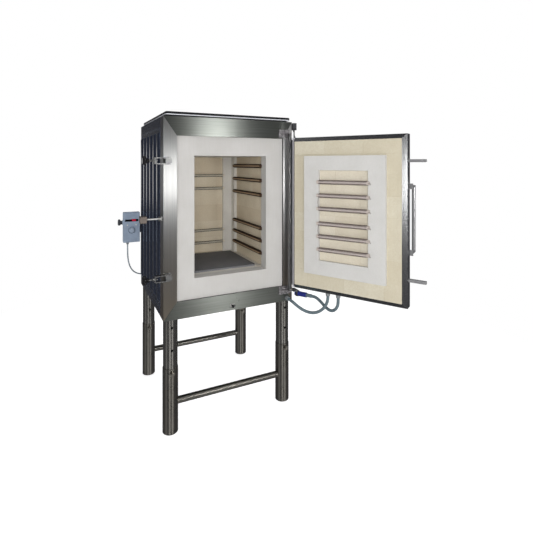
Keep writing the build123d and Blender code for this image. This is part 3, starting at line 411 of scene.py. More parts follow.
def drawn_steel(name, dark, light, roughness, patch=0.07, dulled_and_shaded=None, metallic=1.0):
    """Bare or plated steel, faintly clouded; inside a given half width duller, and painted darker as
    shade.
    """
    made, tree, shader, spot = finish(name, roughness, metallic)
    tone = clouded(tree, spot, patch)
    colour = shade(tree, tone, srgb(*dark), srgb(*light))
    dull = spread(tree, tone, 0.0, 1.0, roughness - 0.02, roughness + 0.03)
    if dulled_and_shaded is not None:
        across = calc(tree, "ABSOLUTE", measure(tree, spot, "X"))
        inside = spread(tree, across, dulled_and_shaded, dulled_and_shaded + 0.01, 1.0, 0.0)
        dull = calc(tree, "ADD", dull, calc(tree, "MULTIPLY", inside, SCUFF_DULL))
        # The rail between the sleeves is painted darker: painted shade.
        colour = shade(tree, calc(tree, "MULTIPLY", inside, RAIL_SHADE_SHARE), colour, srgb(*RAIL_SHADE_GREY))
    paint(tree, shader, colour)
    feed(tree, shader.inputs["Roughness"], dull)
    return made


RAIL_HALF = 0.305
dress(drawn_steel("stand_coat", (164, 160, 151), (176, 172, 163), 0.28, dulled_and_shaded=RAIL_HALF),
      "stand_frame_front", "stand_frame_rear")
dress(drawn_steel("leg_coat", (178, 175, 168), (190, 187, 180), 0.25), "stand_tubes")

# Casing: folded sheet steel in dark blue-grey enamel. The two side sheets have six pressed ribs
# with a bead line round them, and the rear and the floor and roof sheets are plain.

# Edges painted lighter: where handling has rubbed the colour off, and a painted highlight along them
wear_and_sheen, given, result = effect(
    "worn_edges", {"Reach": ("Float", 0.003), "Vector": ("Vector", None)}, {"Mask": "Float"})
rounded = add(wear_and_sheen, "ShaderNodeBevel", samples=4)
feed(wear_and_sheen, rounded.inputs["Radius"], given["Reach"])
flat = add(wear_and_sheen, "ShaderNodeNewGeometry").outputs["Normal"]
agree = add(wear_and_sheen, "ShaderNodeVectorMath", operation="DOT_PRODUCT")
feed(wear_and_sheen, agree.inputs[0], rounded.outputs["Normal"])
feed(wear_and_sheen, agree.inputs[1], flat)
turned = spread(wear_and_sheen, agree.outputs["Value"], 0.98, 0.80, 0.0, 1.0)
chips = use(wear_and_sheen, clouds, Vector=given["Vector"], Size=0.012)["Tone"]
uneven = spread(wear_and_sheen, chips, 0.25, 0.65, 0.35, 1.0)
feed(wear_and_sheen, result["Mask"], calc(wear_and_sheen, "MULTIPLY", turned, uneven))


def enamel(name, dark, light, rubbed_and_lit_colour, roughness, patch=0.07, reach=0.002, gloss=0.5):
    """Enamelled sheet: clouded colour, a fine orange peel and edges painted light, as rubbed wear and as
    a painted highlight.
    """
    made, tree, shader, spot = finish(name, roughness)
    shader.inputs["Specular IOR Level"].default_value = gloss
    tone = clouded(tree, spot, patch)
    rubbed_and_lit = use(tree, wear_and_sheen, Vector=spot, Reach=reach)["Mask"]
    colour = shade(tree, tone, srgb(*dark), srgb(*light))
    paint(tree, shader, shade(tree, rubbed_and_lit, colour, srgb(*rubbed_and_lit_colour)))
    peel = clouded(tree, spot, 0.003)
    relief(tree, shader, peel, 0.00015, 0.4)
    return made


# The casing's rib and sheet edges are painted lighter: partly rubbed wear, partly a painted highlight.
dress(enamel("casing_enamel", (30, 34, 46), (38, 43, 56), (104, 114, 132), 0.22, 0.16, 0.003),
      "side_panel_left", "side_panel_right", "rear_panel", "casing_sheets")

# Front frame: four folded members of brushed stainless sheet with mitred corners. The grain runs
# along each member, and a dark line marks each mitre. The horizontal members are painted darker
# than the uprights, the top one most: painted shade. The inner flange is painted dark as painted
# shade, and the lower ends of the uprights carry a painted brown reflection of the floor.
FRAME_HALF = 0.400
LEFT_WIDTH = 0.074
RIGHT_WIDTH = 0.063
FOOT_Z = 0.630
FOOT_WIDTH = 0.096
TOP_Z = 1.750
TOP_WIDTH = 0.106
MITRE_SOFT = 0.03
FLANGE_IN = (0.02, 0.04)
FLOOR_REFLECTION_Z = (0.7, 1.15)
FRAME_MIDDLE = 1.2
TARNISHED_X = 0.3
TARNISHED_Z = (0.95, 1.5)

# brushed_grain: fine streaks along X, or along Z where Upright is 1
grain, given, result = effect(
    "brushed_grain", {"Vector": ("Vector", None), "Upright": ("Float", 0.0)}, {"Tone": "Float"})
tones = []
for stretch in ((2.5, 420.0, 420.0), (420.0, 420.0, 2.5)):
    drawn = add(grain, "ShaderNodeMapping", Vector=given["Vector"], Scale=stretch)
    streaks = add(grain, "ShaderNodeTexNoise", Vector=drawn.outputs["Vector"], Scale=1.0, Detail=3.0)
    tones.append(streaks.outputs["Fac"])
mix = add(grain, "ShaderNodeMix")
feed(grain, mix.inputs[0], given["Upright"])
feed(grain, mix.inputs[2], tones[0])
feed(grain, mix.inputs[3], tones[1])
feed(grain, result["Tone"], spread(grain, mix.outputs[0], 0.35, 0.65, 0.0, 1.0))

# Brushing spreads a reflection across the grain, so each member mirrors the lamp as a band
frame_steel, tree, shader, spot = finish("frame_steel", 0.38, 1.0)
shader.inputs["Anisotropic"].default_value = 0.88
level = measure(tree, spot, "Z")
to_hinge = measure(tree, spot, "X")
to_side = calc(tree, "SUBTRACT", FRAME_HALF, calc(tree, "ABSOLUTE", to_hinge))
side_width = spread(tree, to_hinge, -0.01, 0.01, LEFT_WIDTH, RIGHT_WIDTH)
side_share = calc(tree, "DIVIDE", to_side, side_width)
low_share = calc(tree, "DIVIDE", calc(tree, "SUBTRACT", level, FOOT_Z), FOOT_WIDTH)
high_share = calc(tree, "DIVIDE", calc(tree, "SUBTRACT", TOP_Z, level), TOP_WIDTH)
end_share = calc(tree, "MINIMUM", low_share, high_share)
upright = calc(tree, "LESS_THAN", side_share, end_share)
off_mitre = calc(tree, "ABSOLUTE", calc(tree, "SUBTRACT", side_share, end_share))
mitre = spread(tree, off_mitre, 0.0, MITRE_SOFT, 1.0, 0.0)
brushed = use(tree, grain, Vector=spot, Upright=upright)
tone = clouded(tree, spot, 0.13)
# The horizontal members are painted darker than the uprights, the top one darkest: painted shade.
across_top = shade(tree, brushed["Tone"], srgb(115, 118, 113), srgb(129, 132, 127))
across_foot = shade(tree, brushed["Tone"], srgb(128, 131, 125), srgb(142, 145, 139))
along = shade(tree, calc(tree, "GREATER_THAN", level, FRAME_MIDDLE), across_foot, across_top)
standing = shade(tree, brushed["Tone"], srgb(188, 188, 187), srgb(204, 204, 201))
# The lower ends of the uprights are painted brown: a painted reflection of the floor.
floor_reflection = calc(tree, "MULTIPLY", upright, spread(tree, level, *FLOOR_REFLECTION_Z, 0.6, 0.0))
steel = shade(tree, floor_reflection, shade(tree, upright, along, standing), srgb(176, 158, 130))
steel = shade(tree, calc(tree, "MULTIPLY", mitre, 0.6), steel, srgb(60, 60, 62))
facing = measure(tree, add(tree, "ShaderNodeNewGeometry").outputs["Normal"], "Y")
sideways = calc(tree, "LESS_THAN", calc(tree, "ABSOLUTE", facing), 0.5)
# The inner flange is painted dark: painted shade.
flange_shade = calc(tree, "MULTIPLY", sideways, spread(tree, to_side, *FLANGE_IN, 0.0, 1.0))
paint(tree, shader, shade(tree, flange_shade, steel, srgb(74, 72, 74)))
forward = calc(tree, "SUBTRACT", 1.0, sideways)
up_front = calc(tree, "MULTIPLY", upright, forward)
across = add(tree, "ShaderNodeCombineXYZ", X=up_front, Y=sideways,
             Z=calc(tree, "MULTIPLY", calc(tree, "SUBTRACT", 1.0, upright), forward))
feed(tree, shader.inputs["Tangent"], across.outputs[0])
smooth = spread(tree, tone, 0.0, 1.0, 0.27, 0.30)
feed(tree, shader.inputs["Roughness"], calc(tree, "ADD", smooth, calc(tree, "MULTIPLY", upright, 0.09)))
hinge_side = calc(tree, "MULTIPLY", up_front, calc(tree, "GREATER_THAN", to_hinge, TARNISHED_X))
tarnish = calc(tree, "MULTIPLY", hinge_side, spread(tree, level, *TARNISHED_Z, 0.0, 0.2))
feed(tree, shader.inputs["Metallic"], calc(tree, "SUBTRACT", 1.0, tarnish))
dress(frame_steel, "front_frame")

# Backing boards and brick lining: calcium silicate board behind light firebrick, cut to blocks and
# cemented. The bricks are cream with fine pores and thin joints, and the corner columns are whiter.
pores, given, result = effect(
    "brick_pores", {"Vector": ("Vector", None), "Size": ("Float", 0.004)},
    {"Depth": "Float", "Speckle": "Float"})
holes = add(pores, "ShaderNodeTexVoronoi", Vector=given["Vector"],
            Scale=calc(pores, "DIVIDE", 1.0, given["Size"]))
feed(pores, result["Depth"], spread(pores, holes.outputs["Distance"], 0.0, 0.45, 0.0, 1.0))
specks = add(pores, "ShaderNodeTexNoise", Vector=given["Vector"], Detail=6.0, Roughness=0.7,
             Scale=calc(pores, "DIVIDE", 0.6, given["Size"]))
feed(pores, result["Speckle"], spread(pores, specks.outputs["Fac"], 0.35, 0.65, 0.0, 1.0))


def turned_back(tree, spot, about, angle):
    """Coordinates turned about a point, so that a pattern lies square on a piece that stands turned."""
    centred = add(tree, "ShaderNodeMapping", Vector=spot, Location=[-v for v in about])
    return add(tree, "ShaderNodeMapping", Vector=centred.outputs[0], Rotation=(0, 0, angle)).outputs[0]


SEAM_WIDTH = 0.0011
BLACK = (0.0, 0.0, 0.0, 1.0)
GREY = (0.5, 0.5, 0.5, 1.0)


def fired(name, dark, light, speck, pore=0.004, joints=None, turn=None):
    """Firebrick or ceramic fibre: clouded tone, specks and pores, and cement joints where given."""
    made, tree, shader, spot = finish(name, 0.92)
    if turn is not None:
        spot = turned_back(tree, spot, *turn)
    tone = clouded(tree, spot, 0.11)
    pitted = use(tree, pores, Vector=spot, Size=pore)
    speck = srgb(*speck)
    colour = shade(tree, tone, srgb(*dark), srgb(*light))
    colour = shade(tree, calc(tree, "MULTIPLY", pitted["Speckle"], 0.5), colour, speck)
    height = pitted["Depth"]
    if joints is not None:
        course, width, start = joints
        axes = add(tree, "ShaderNodeSeparateXYZ", Vector=spot)
        flat_way = calc(tree, "ADD", axes.outputs["X"], axes.outputs["Y"])
        laid = add(tree, "ShaderNodeCombineXYZ", X=flat_way,
                   Y=calc(tree, "SUBTRACT", axes.outputs["Z"], start))
        wall = add(tree, "ShaderNodeTexBrick", Vector=laid.outputs[0], Scale=1.0,
                   Mortar_Size=SEAM_WIDTH, Brick_Width=width, Row_Height=course,
                   Color1=BLACK, Color2=WHITE, Mortar=GREY)
        seam = wall.outputs["Fac"]
        colour = shade(tree, calc(tree, "MULTIPLY", wall.outputs["Color"], 0.35), colour, speck)
        colour = shade(tree, calc(tree, "MULTIPLY", seam, 0.45), colour, speck)
        height = calc(tree, "SUBTRACT", height, calc(tree, "MULTIPLY", seam, 2.0))
    paint(tree, shader, colour)
    relief(tree, shader, height, 0.0006, 0.6)
    return made


COURSE = 0.1146
BRICK_LENGTH = 0.230
WALL_JOINTS = (COURSE, BRICK_LENGTH, 0.842)
dress(fired("backing_board", (196, 196, 190), (214, 214, 208), (180, 178, 170)), "backing_boards")
dress(fired("wall_brick", (220, 210, 187), (236, 227, 206), (200, 180, 152),
            joints=WALL_JOINTS), "brick_walls")
dress(fired("column_brick", (214, 211, 205), (228, 226, 219), (204, 198, 187)),
      "corner_columns", "roof_and_floor")

# Front panel: a board of vacuum formed white fibre round the chamber mouth, set back in the frame.
# Its face shows the fine upright streaks of the felt that it was pressed on.
felt, tree, shader, spot = finish("front_fibre", 0.95)
drawn = add(tree, "ShaderNodeMapping", Vector=spot, Scale=(160.0, 160.0, 9.0))
streaks = add(tree, "ShaderNodeTexNoise", Vector=drawn.outputs["Vector"], Scale=1.0, Detail=4.0,
              Roughness=0.55)
tone = clouded(tree, spot, 0.16)
pale = shade(tree, tone, srgb(190, 188, 184), srgb(199, 197, 194))
marks = calc(tree, "MULTIPLY", spread(tree, streaks.outputs["Fac"], 0.36, 0.62, 1.0, 0.0), 0.14)
paint(tree, shader, shade(tree, marks, pale, srgb(180, 176, 168)))
relief(tree, shader, streaks.outputs["Fac"], 0.0006, 0.5)
dress(felt, "front_panel")

# Heating elements: coils of oxidised resistance wire wound on ceramic tubes, six in each side wall,
# four in the rear wall and six in the door.
TUBE_LAP = 0.010
COIL_SHORT = 0.004
WIRE_D = 0.003
SIDE_COIL_R = 0.013
REAR_COIL_R = 0.010
SIDE_X = 0.225
SIDE_Y = (-0.3165, 0.1665)
REAR_Y = 0.2135
REAR_X = (-0.170, 0.170)
CASING_FOOT = 630
SIDE_Z = [(CASING_FOOT + z) / 1000 for z in (843, 751, 660, 451, 373, 296)]
REAR_Z = [(CASING_FOOT + z) / 1000 for z in (772, 679, 376, 288)]
chamber_tube, tree, shader, spot = finish("chamber_tube", 0.8)
tone = clouded(tree, spot, 0.03)
# The side tubes are painted dark brown and the rear tubes light: painted shade of the side walls.
at_side = calc(tree, "GREATER_THAN", calc(tree, "ABSOLUTE", measure(tree, spot, "X")), 0.2)
lit_rear_tone = shade(tree, tone, srgb(212, 204, 188), srgb(228, 220, 204))
shaded_side_tone = shade(tree, tone, srgb(66, 48, 33), srgb(92, 70, 50))
paint(tree, shader, shade(tree, at_side, lit_rear_tone, shaded_side_tone))
dress(chamber_tube, "chamber_tubes")
dress(fired("door_tube", (196, 184, 176), (212, 202, 194), (170, 158, 150), 0.002),
      "door_element_tubes")


def wire(name, edge, core, levels, radius):
    """Oxidised resistance wire: its own colour in front, and painted dark above and below as painted
    shade along the groove.
    """
    made, tree, shader, spot = finish(name, 0.7)
    height = measure(tree, spot, "Z")
    off = 1.0
    for level in levels:
        off = calc(tree, "MINIMUM", off, calc(tree, "ABSOLUTE", calc(tree, "SUBTRACT", height, level)))
    tone = clouded(tree, spot, 0.03)
    scale = shade(tree, tone, srgb(*[v * 0.93 for v in core]), srgb(*core))
    # Painted shade: the wire is darker above and below, where it lies in the groove.
    groove_shade = spread(tree, off, radius * 0.22, radius * 0.44, 0.0, 1.0)
    paint(tree, shader, shade(tree, groove_shade, scale, srgb(*edge)))
    return made


# The side wire is painted darker than the rear wire: painted shade of the side walls.
side_wire = wire("side_wire", (42, 28, 16), (150, 128, 102), SIDE_Z, SIDE_COIL_R)
rear_wire = wire("rear_wire", (84, 78, 66), (214, 207, 192), REAR_Z, REAR_COIL_R)


def piece_tree(name, sizes):
    """An empty geometry node tree, with named inputs for a piece's sizes and its material."""
    group = bpy.data.node_groups.new(name, "GeometryNodeTree")
    group.interface.new_socket("Geometry", in_out="INPUT", socket_type="NodeSocketGeometry")
    for label, (kind, value) in sizes.items():
        socket = group.interface.new_socket(label, in_out="INPUT", socket_type="NodeSocket" + kind)
        socket.default_value = value
    group.interface.new_socket("Material", in_out="INPUT", socket_type="NodeSocketMaterial")
    group.interface.new_socket("Geometry", in_out="OUTPUT", socket_type="NodeSocketGeometry")
    return group, add(group, "NodeGroupInput").outputs, add(group, "NodeGroupOutput").inputs


def set_out(group, given, result, shape):
    """End a tree: a shape on each given point, turned as given, made real and given its material."""
    seats = add(group, "GeometryNodeInstanceOnPoints", Points=given["Geometry"], Instance=shape,
                Rotation=given["Turn To"])
    whole = add(group, "GeometryNodeRealizeInstances", Geometry=seats.outputs[0])
    coated = add(group, "GeometryNodeSetMaterial", Geometry=whole.outputs[0], Material=given["Material"])
    feed(group, result["Geometry"], coated.outputs[0])


winding, given, result = piece_tree("element_winding", {
    "Length": ("Float", 0.4), "Turns": ("Float", 60.0), "Coil Radius": ("Float", 0.01),
    "Wire Radius": ("Float", 0.0015), "Turn To": ("Vector", (0.0, 0.0, 0.0))})
coil = add(winding, "GeometryNodeCurveSpiral", Resolution=12, Rotations=given["Turns"],
           Start_Radius=given["Coil Radius"], End_Radius=given["Coil Radius"], Height=given["Length"])
round_wire = add(winding, "GeometryNodeCurvePrimitiveCircle", Resolution=6, Radius=given["Wire Radius"])
wound = add(winding, "GeometryNodeCurveToMesh", Curve=coil.outputs[0], Fill_Caps=True)
feed(winding, wound.inputs["Profile Curve"], round_wire.outputs[0])
smooth = add(winding, "GeometryNodeSetShadeSmooth", Geometry=wound.outputs[0])
set_out(winding, given, result, smooth.outputs[0])


def run_nodes(name, points, group, **values):
    """Run a geometry node tree on a few points, and keep the result as a plain mesh."""
    seed = bpy.data.meshes.new(name + "_points")
    seed.from_pydata([Vector(p) for p in points], [], [])
    holder = bpy.data.objects.new(name + "_holder", seed)
    scene.collection.objects.link(holder)
    modifier = holder.modifiers.new("nodes", "NODES")
    modifier.node_group = group
    for item in group.interface.items_tree:
        key = item.name.replace(" ", "_")
        if item.in_out == "INPUT" and key in values:
            modifier[item.identifier] = values[key]
    return plain_mesh(holder, name)


inset = TUBE_LAP + COIL_SHORT
side_length = SIDE_Y[1] - SIDE_Y[0] - 2 * inset
rear_length = REAR_X[1] - REAR_X[0] - 2 * inset
side_starts = {side: [(side * SIDE_X, SIDE_Y[1] - inset, z) for z in SIDE_Z] for side in (-1, 1)}
rear_starts = [(REAR_X[0] + inset, REAR_Y, z) for z in REAR_Z]
forwards = (pi / 2, 0.0, 0.0)
rightwards = (0.0, pi / 2, 0.0)
for name, starts, length, turns, radius, turn, metal in (
        ("windings_left", side_starts[-1], side_length, 76.0, SIDE_COIL_R, forwards, side_wire),
        ("windings_right", side_starts[1], side_length, 76.0, SIDE_COIL_R, forwards, side_wire),
        ("windings_rear", rear_starts, rear_length, 56.0, REAR_COIL_R, rightwards, rear_wire)):
    coils = run_nodes(name, starts, winding, Length=length, Turns=turns, Turn_To=turn, Material=metal,
                      Coil_Radius=radius - WIRE_D / 2, Wire_Radius=WIRE_D / 2)
    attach(coils, "kiln")
    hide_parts("chamber_coils")


def built(name, shape, material):
    """An object from a mesh under construction."""
    data = bpy.data.meshes.new(name)
    shape.to_mesh(data)
    shape.free()
    data.materials.append(material)
    made = bpy.data.objects.new(name, data)
    scene.collection.objects.link(made)
    return made


def bent_wires(name, paths, material):
    """Short pieces of element wire, each along its own points, joined in one mesh."""
    shape = bmesh.new()
    for index, points in enumerate(paths):
        piece = plain_mesh(route_curve(name + "_curve", points, WIRE_D), name + str(index))
        even_faces(piece)
        shape.from_mesh(piece.data)
        bpy.data.objects.remove(piece)
    return built(name, shape, material)


WIRE_BOW = 0.004


def jumper(x, y, top, bottom, bow_x, bow_y):
    """The points of a wire from one element's end down to the next one's, bowed in its middle."""
    middle = (x + bow_x, y + bow_y, (top + bottom) / 2)
    return [(x, y, top), (x, y, top - SIDE_COIL_R), middle, (x, y, bottom + SIDE_COIL_R), (x, y, bottom)]


jumpers = [jumper(side * (SIDE_X - SIDE_COIL_R + WIRE_D), SIDE_Y[1] - inset, top, bottom,
                  -side * WIRE_BOW, -WIRE_BOW) for side in (-1, 1)
           for top, bottom in ((SIDE_Z[1], SIDE_Z[2]), (SIDE_Z[3], SIDE_Z[4]))]
jumper_wire = wire("jumper_wire", (120, 108, 92), (168, 158, 142), SIDE_Z, SIDE_COIL_R)
chamber_jumpers = bent_wires("chamber_jumpers", jumpers, jumper_wire)
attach(chamber_jumpers, "kiln")

# Shelf plate: a pressed silicon carbide plate, dark grey with a fine grain, that lies loose on the
# chamber floor and carries the ware.
dress(fired("shelf_ceramic", (112, 113, 117), (124, 125, 128), (92, 92, 94), 0.0018), "shelf_plate")

# Roof cover: a dark enamelled lid over a sheet tray, set on two bars above the casing so that air
# cools it. The tray's edge is pale low down and painted dark at its rim, a painted shadow of the gap
# under the lid.
dress(enamel("cover_enamel", (20, 19, 23), (28, 27, 31), (44, 44, 48), 0.45, 0.2, 0.002, 0.15),
      "cover_lid")
TRAY_SHADOW_BAND = (1.7575, 1.7625)
tray_sheet, tree, shader, spot = finish("tray_sheet", 0.5)
tone = clouded(tree, spot, 0.2)
pale = shade(tree, tone, srgb(196, 198, 204), srgb(214, 216, 220))
height = measure(tree, spot, "Z")
# A band of the tray's edge is painted near black: painted shadow of the gap under the lid.
bare = calc(tree, "MULTIPLY", calc(tree, "GREATER_THAN", height, TRAY_SHADOW_BAND[0]),
            calc(tree, "LESS_THAN", height, TRAY_SHADOW_BAND[1]))
paint(tree, shader, shade(tree, bare, srgb(18, 18, 20), pale))
dress(tray_sheet, "cover_tray")

# Hinge brackets and pins: bare steel plates, uneven in tone, bolted to the frame above and below the
# door with zinc plated bolts. The upper one is dark with soot at its top.
SOOT_Z = (1.698, 1.706)
zinc = drawn_steel("zinc_steel", (150, 150, 150), (178, 178, 176), 0.33, 0.03)
bracket_steel, tree, shader, spot = finish("bracket_steel", 0.3, 0.6)
tone = clouded(tree, spot, 0.014)
bare = shade(tree, tone, srgb(88, 85, 85), srgb(186, 182, 184))
sooty = spread(tree, measure(tree, spot, "Z"), *SOOT_Z, 0.0, 1.0)
paint(tree, shader, shade(tree, sooty, bare, srgb(40, 40, 42)))
dress(bracket_steel, "hinge_brackets", "pivot_pins")

screw_rows, given, result = piece_tree("screw_rows", {
    "Head Radius": ("Float", 0.004), "Head Height": ("Float", 0.002), "Sides": ("Int", 12),
    "Turn To": ("Vector", (0.0, 0.0, 0.0))})
head = add(screw_rows, "GeometryNodeMeshCone", Side_Segments=1, Depth=given["Head Height"],
           Radius_Bottom=given["Head Radius"])
feed(screw_rows, head.inputs["Vertices"], given["Sides"])
feed(screw_rows, head.inputs["Radius Top"], calc(screw_rows, "MULTIPLY", given["Head Radius"], 0.72))
set_out(screw_rows, given, result, head.outputs[0])

FRAME_FACE = -0.3885
BRACKET_SHEET = 0.005
BOLT_X = (0.324, 0.350)
BOLT_LIFT = 0.016
BOLT_IN = 0.025
BOLT_R = 0.0055
BOLT_HEAD = 0.004
bracket_low, bracket_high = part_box("hinge_brackets")
bracket_mid = (bracket_low.z + bracket_high.z) / 2
bracket_reach = (bracket_high.z - bracket_low.z) / 2 - BOLT_IN
bolts = [(x, FRAME_FACE - BRACKET_SHEET, bracket_mid + side * bracket_reach + lift) for x in BOLT_X
         for side in (-1, 1) for lift in (-BOLT_LIFT, BOLT_LIFT)]
hinge_bolts = run_nodes("hinge_bolts", bolts, screw_rows, Head_Radius=BOLT_R, Head_Height=BOLT_HEAD,
                        Sides=6, Turn_To=forwards, Material=zinc)
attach(hinge_bolts, "kiln")

# Door: a brushed steel frame with a bevelled lip holds a border of firebrick round a white fibre
# seal, and the seal holds the brick core. It is drawn here standing open about its hinge.
DOOR_OPEN = radians(120.6)
HINGE = (0.366, -0.4185, 0.0)
HINGE_LIP = -0.038
LIP_SHEEN_SHARE = 0.65
door_turn = (HINGE, -DOOR_OPEN)


def door_finish(name, patch):
    """Steel brushed upright: its node tree, shader, own coordinates, grain and clouds."""
    made, tree, shader, spot = finish(name, 0.22, 1.0)
    local = turned_back(tree, spot, *door_turn)
    brushed = use(tree, grain, Vector=local, Upright=1.0)["Tone"]
    return made, tree, shader, local, brushed, clouded(tree, local, patch)


door_steel, tree, shader, local, brushed, tone = door_finish("door_steel", 0.12)
# The lip beside the hinge is painted near white and made less metallic: a painted highlight.
on_lip = calc(tree, "GREATER_THAN", measure(tree, local, "X"), HINGE_LIP)
plain = shade(tree, brushed, srgb(160, 161, 162), srgb(188, 188, 188))
paint(tree, shader, shade(tree, on_lip, plain, srgb(232, 230, 236)))
bare = calc(tree, "SUBTRACT", 1.0, calc(tree, "MULTIPLY", on_lip, LIP_SHEEN_SHARE))
feed(tree, shader.inputs["Metallic"], bare)
feed(tree, shader.inputs["Roughness"], spread(tree, tone, 0.0, 1.0, 0.21, 0.23))
dress(door_steel, "door_frame")
dress(zinc, "hinge_tube")
door_sheet, tree, shader, local, brushed, tone = door_finish("door_sheet", 0.2)
paint(tree, shader, shade(tree, brushed, srgb(158, 159, 159), srgb(176, 176, 176)))
feed(tree, shader.inputs["Roughness"], spread(tree, tone, 0.0, 1.0, 0.43, 0.48))
dress(door_sheet, "door_back")
BORDER_JOINTS = (COURSE, BRICK_LENGTH, 0.740)
CORE_JOINTS = (0.131, 0.294, 0.926)
dress(fired("door_brick", (206, 199, 180), (218, 213, 195), (192, 180, 152),
            joints=BORDER_JOINTS, turn=door_turn), "door_brick_border")
dress(fired("door_core_brick", (220, 212, 194), (234, 227, 210), (204, 192, 168),
            joints=CORE_JOINTS, turn=door_turn), "door_core")
dress(fired("seal_fibre", (205, 204, 201), (214, 213, 210), (196, 193, 186), 0.003), "door_seal")

DOOR_HALF = 0.157
SEAL_FACE = -0.3765
DOOR_Z = [(CASING_FOOT + z) / 1000 for z in (752, 674, 597, 511, 437, 361)]
HOOK_OUT = 0.012
HOOK_PAST = (0.006, 0.007)
HOOK_LIFT = 0.002
HOOK_DROP = 0.008
turned_open = (Matrix.Translation(HINGE) @ Matrix.Rotation(DOOR_OPEN, 4, "Z")
               @ Matrix.Translation([-v for v in HINGE]))
starts = [turned_open @ Vector((-DOOR_HALF + inset, SEAL_FACE, z)) for z in DOOR_Z]
door_wire = wire("door_wire", (96, 84, 80), (192, 182, 180), DOOR_Z, SIDE_COIL_R)
coils = run_nodes("windings_door", starts, winding, Length=2 * (DOOR_HALF - inset), Turns=50.0,
                  Turn_To=(0.0, pi / 2, DOOR_OPEN), Material=door_wire,
                  Coil_Radius=SIDE_COIL_R - WIRE_D / 2, Wire_Radius=WIRE_D / 2)
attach(coils, "door")
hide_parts("door_element_coils")

coil_end = DOOR_HALF - inset
wire_front = SEAL_FACE + SIDE_COIL_R
wire_middle = SEAL_FACE + SIDE_COIL_R / 2
hooks = [jumper(coil_end, wire_front - WIRE_D, top, bottom, WIRE_BOW, 0.0)
         for top, bottom in ((DOOR_Z[1], DOOR_Z[2]), (DOOR_Z[3], DOOR_Z[4]))]
hooks += [[(-coil_end, wire_middle, z), (-coil_end - HOOK_OUT, wire_front, z),
           (-DOOR_HALF - HOOK_PAST[0], wire_front, z + HOOK_LIFT),
           (-DOOR_HALF - HOOK_PAST[1], wire_middle, z - HOOK_DROP)] for z in DOOR_Z]
hooks = [[tuple(turned_open @ Vector(point)) for point in path] for path in hooks]
hook_wire = wire("door_jumper_wire", (120, 110, 104), (160, 152, 146), DOOR_Z, SIDE_COIL_R)
door_jumpers = bent_wires("door_jumpers", hooks, hook_wire)
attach(door_jumpers, "door")

# Door handle, clamp arms and glands: a steel bar on two arms with foot plates, square steel arms
# welded to the free edge, and two grey plastic glands under the door for the hoses.
dress(drawn_steel("handle_steel", (168, 168, 170), (188, 188, 188), 0.24, 0.05, metallic=0.55),
      "door_handle", "door_arms")
dress(moulded("gland_plastic", (122, 126, 128), (146, 150, 152), 0.45), "door_glands", "cord_glands")

# Swing clamps: bright steel blocks on the casing's left front edge, each with a strap that swings
# over an arm of the door. A screw in the strap, with a black moulded hand knob, draws the door shut.
CLAMP_Y = -0.4085
CLAMP_Z = {"upper": 1.504, "lower": 0.872}
dress(zinc, "clamp_blocks", "clamp_strap_upper", "clamp_strap_lower", "clamp_screw_upper",
      "clamp_screw_lower")
knob_plastic = moulded("knob_plastic", (20, 20, 22), (30, 30, 32), 0.22, depth=0.00005)


def lobed_knob(name, node, body, across, up, radius, hub, lobes, plastic=knob_plastic):
    """A lobed hand knob on an axis along X: a waisted hub that opens into a rounded grip."""
    low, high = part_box(node)
    length = high.x - low.x
    rings = ((0.0, hub, 0.0), (0.12, hub, 0.0), (0.36, hub * 1.12, 0.1), (0.44, radius * 0.78, 0.7),
             (0.5, radius * 0.95, 1.0), (0.62, radius, 1.0), (0.84, radius, 1.0),
             (0.95, radius * 0.93, 0.9), (1.0, radius * 0.76, 0.7), (1.0, radius * 0.3, 0.0))
    deepest = 0.26
    steps = lobes * 12
    shape = bmesh.new()
    loops = []
    for share, reach, depth in rings:
        loop = []
        for step in range(steps):
            turn = 2 * pi * step / steps
            waist = reach * (1 - deepest * depth * (0.5 - 0.5 * cos(lobes * turn)) ** 1.5)
            place = (high.x - share * length, across + waist * sin(turn), up + waist * cos(turn))
            loop.append(shape.verts.new(place))
        loops.append(loop)
    for inner, outer in zip(loops, loops[1:]):
        for step in range(steps):
            after = (step + 1) % steps
            shape.faces.new((inner[step], inner[after], outer[after], outer[step]))
    shape.faces.new(loops[0])
    shape.faces.new(loops[-1])
    bmesh.ops.recalc_face_normals(shape, faces=shape.faces)
    made = built(name, shape, plastic)
    even_faces(made)
    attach(made, body)
    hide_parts(node)


for place, z in CLAMP_Z.items():
    lobed_knob("hand_knob_" + place, "clamp_knob_" + place, "clamp_grip_" + place, CLAMP_Y, z,
               0.025, 0.011, 5)

# Lock arm: a steel rod, painted near white as a painted highlight, that swings on a lug at the left
# front edge, with a square block of brownish cast metal on its end.
LOCK_ROD_END = -0.485
lock_steel, tree, shader, spot = finish("lock_steel", 0.35, 0.6)
tone = clouded(tree, spot, 0.03)
cast = shade(tree, tone, srgb(116, 106, 100), srgb(140, 130, 122))
# The rod is painted near white: a painted highlight.
on_rod = calc(tree, "GREATER_THAN", measure(tree, spot, "X"), LOCK_ROD_END)
paint(tree, shader, shade(tree, on_rod, cast, srgb(224, 224, 220)))
dress(lock_steel, "lock_arm")

# Door switch: a dark grey moulded housing on an angle beside the upper hinge, with a sprung steel
# lever and a roller that the door presses.
dress(moulded("switch_plastic", (50, 51, 53), (70, 71, 74), 0.4), "switch_body")
dress(zinc, "switch_lever")

# Air slide: a rod with a knob in black plastic, through the slot in the lower frame member. It opens
# the air inlet of the chamber.
dress(knob_plastic, "air_slide")

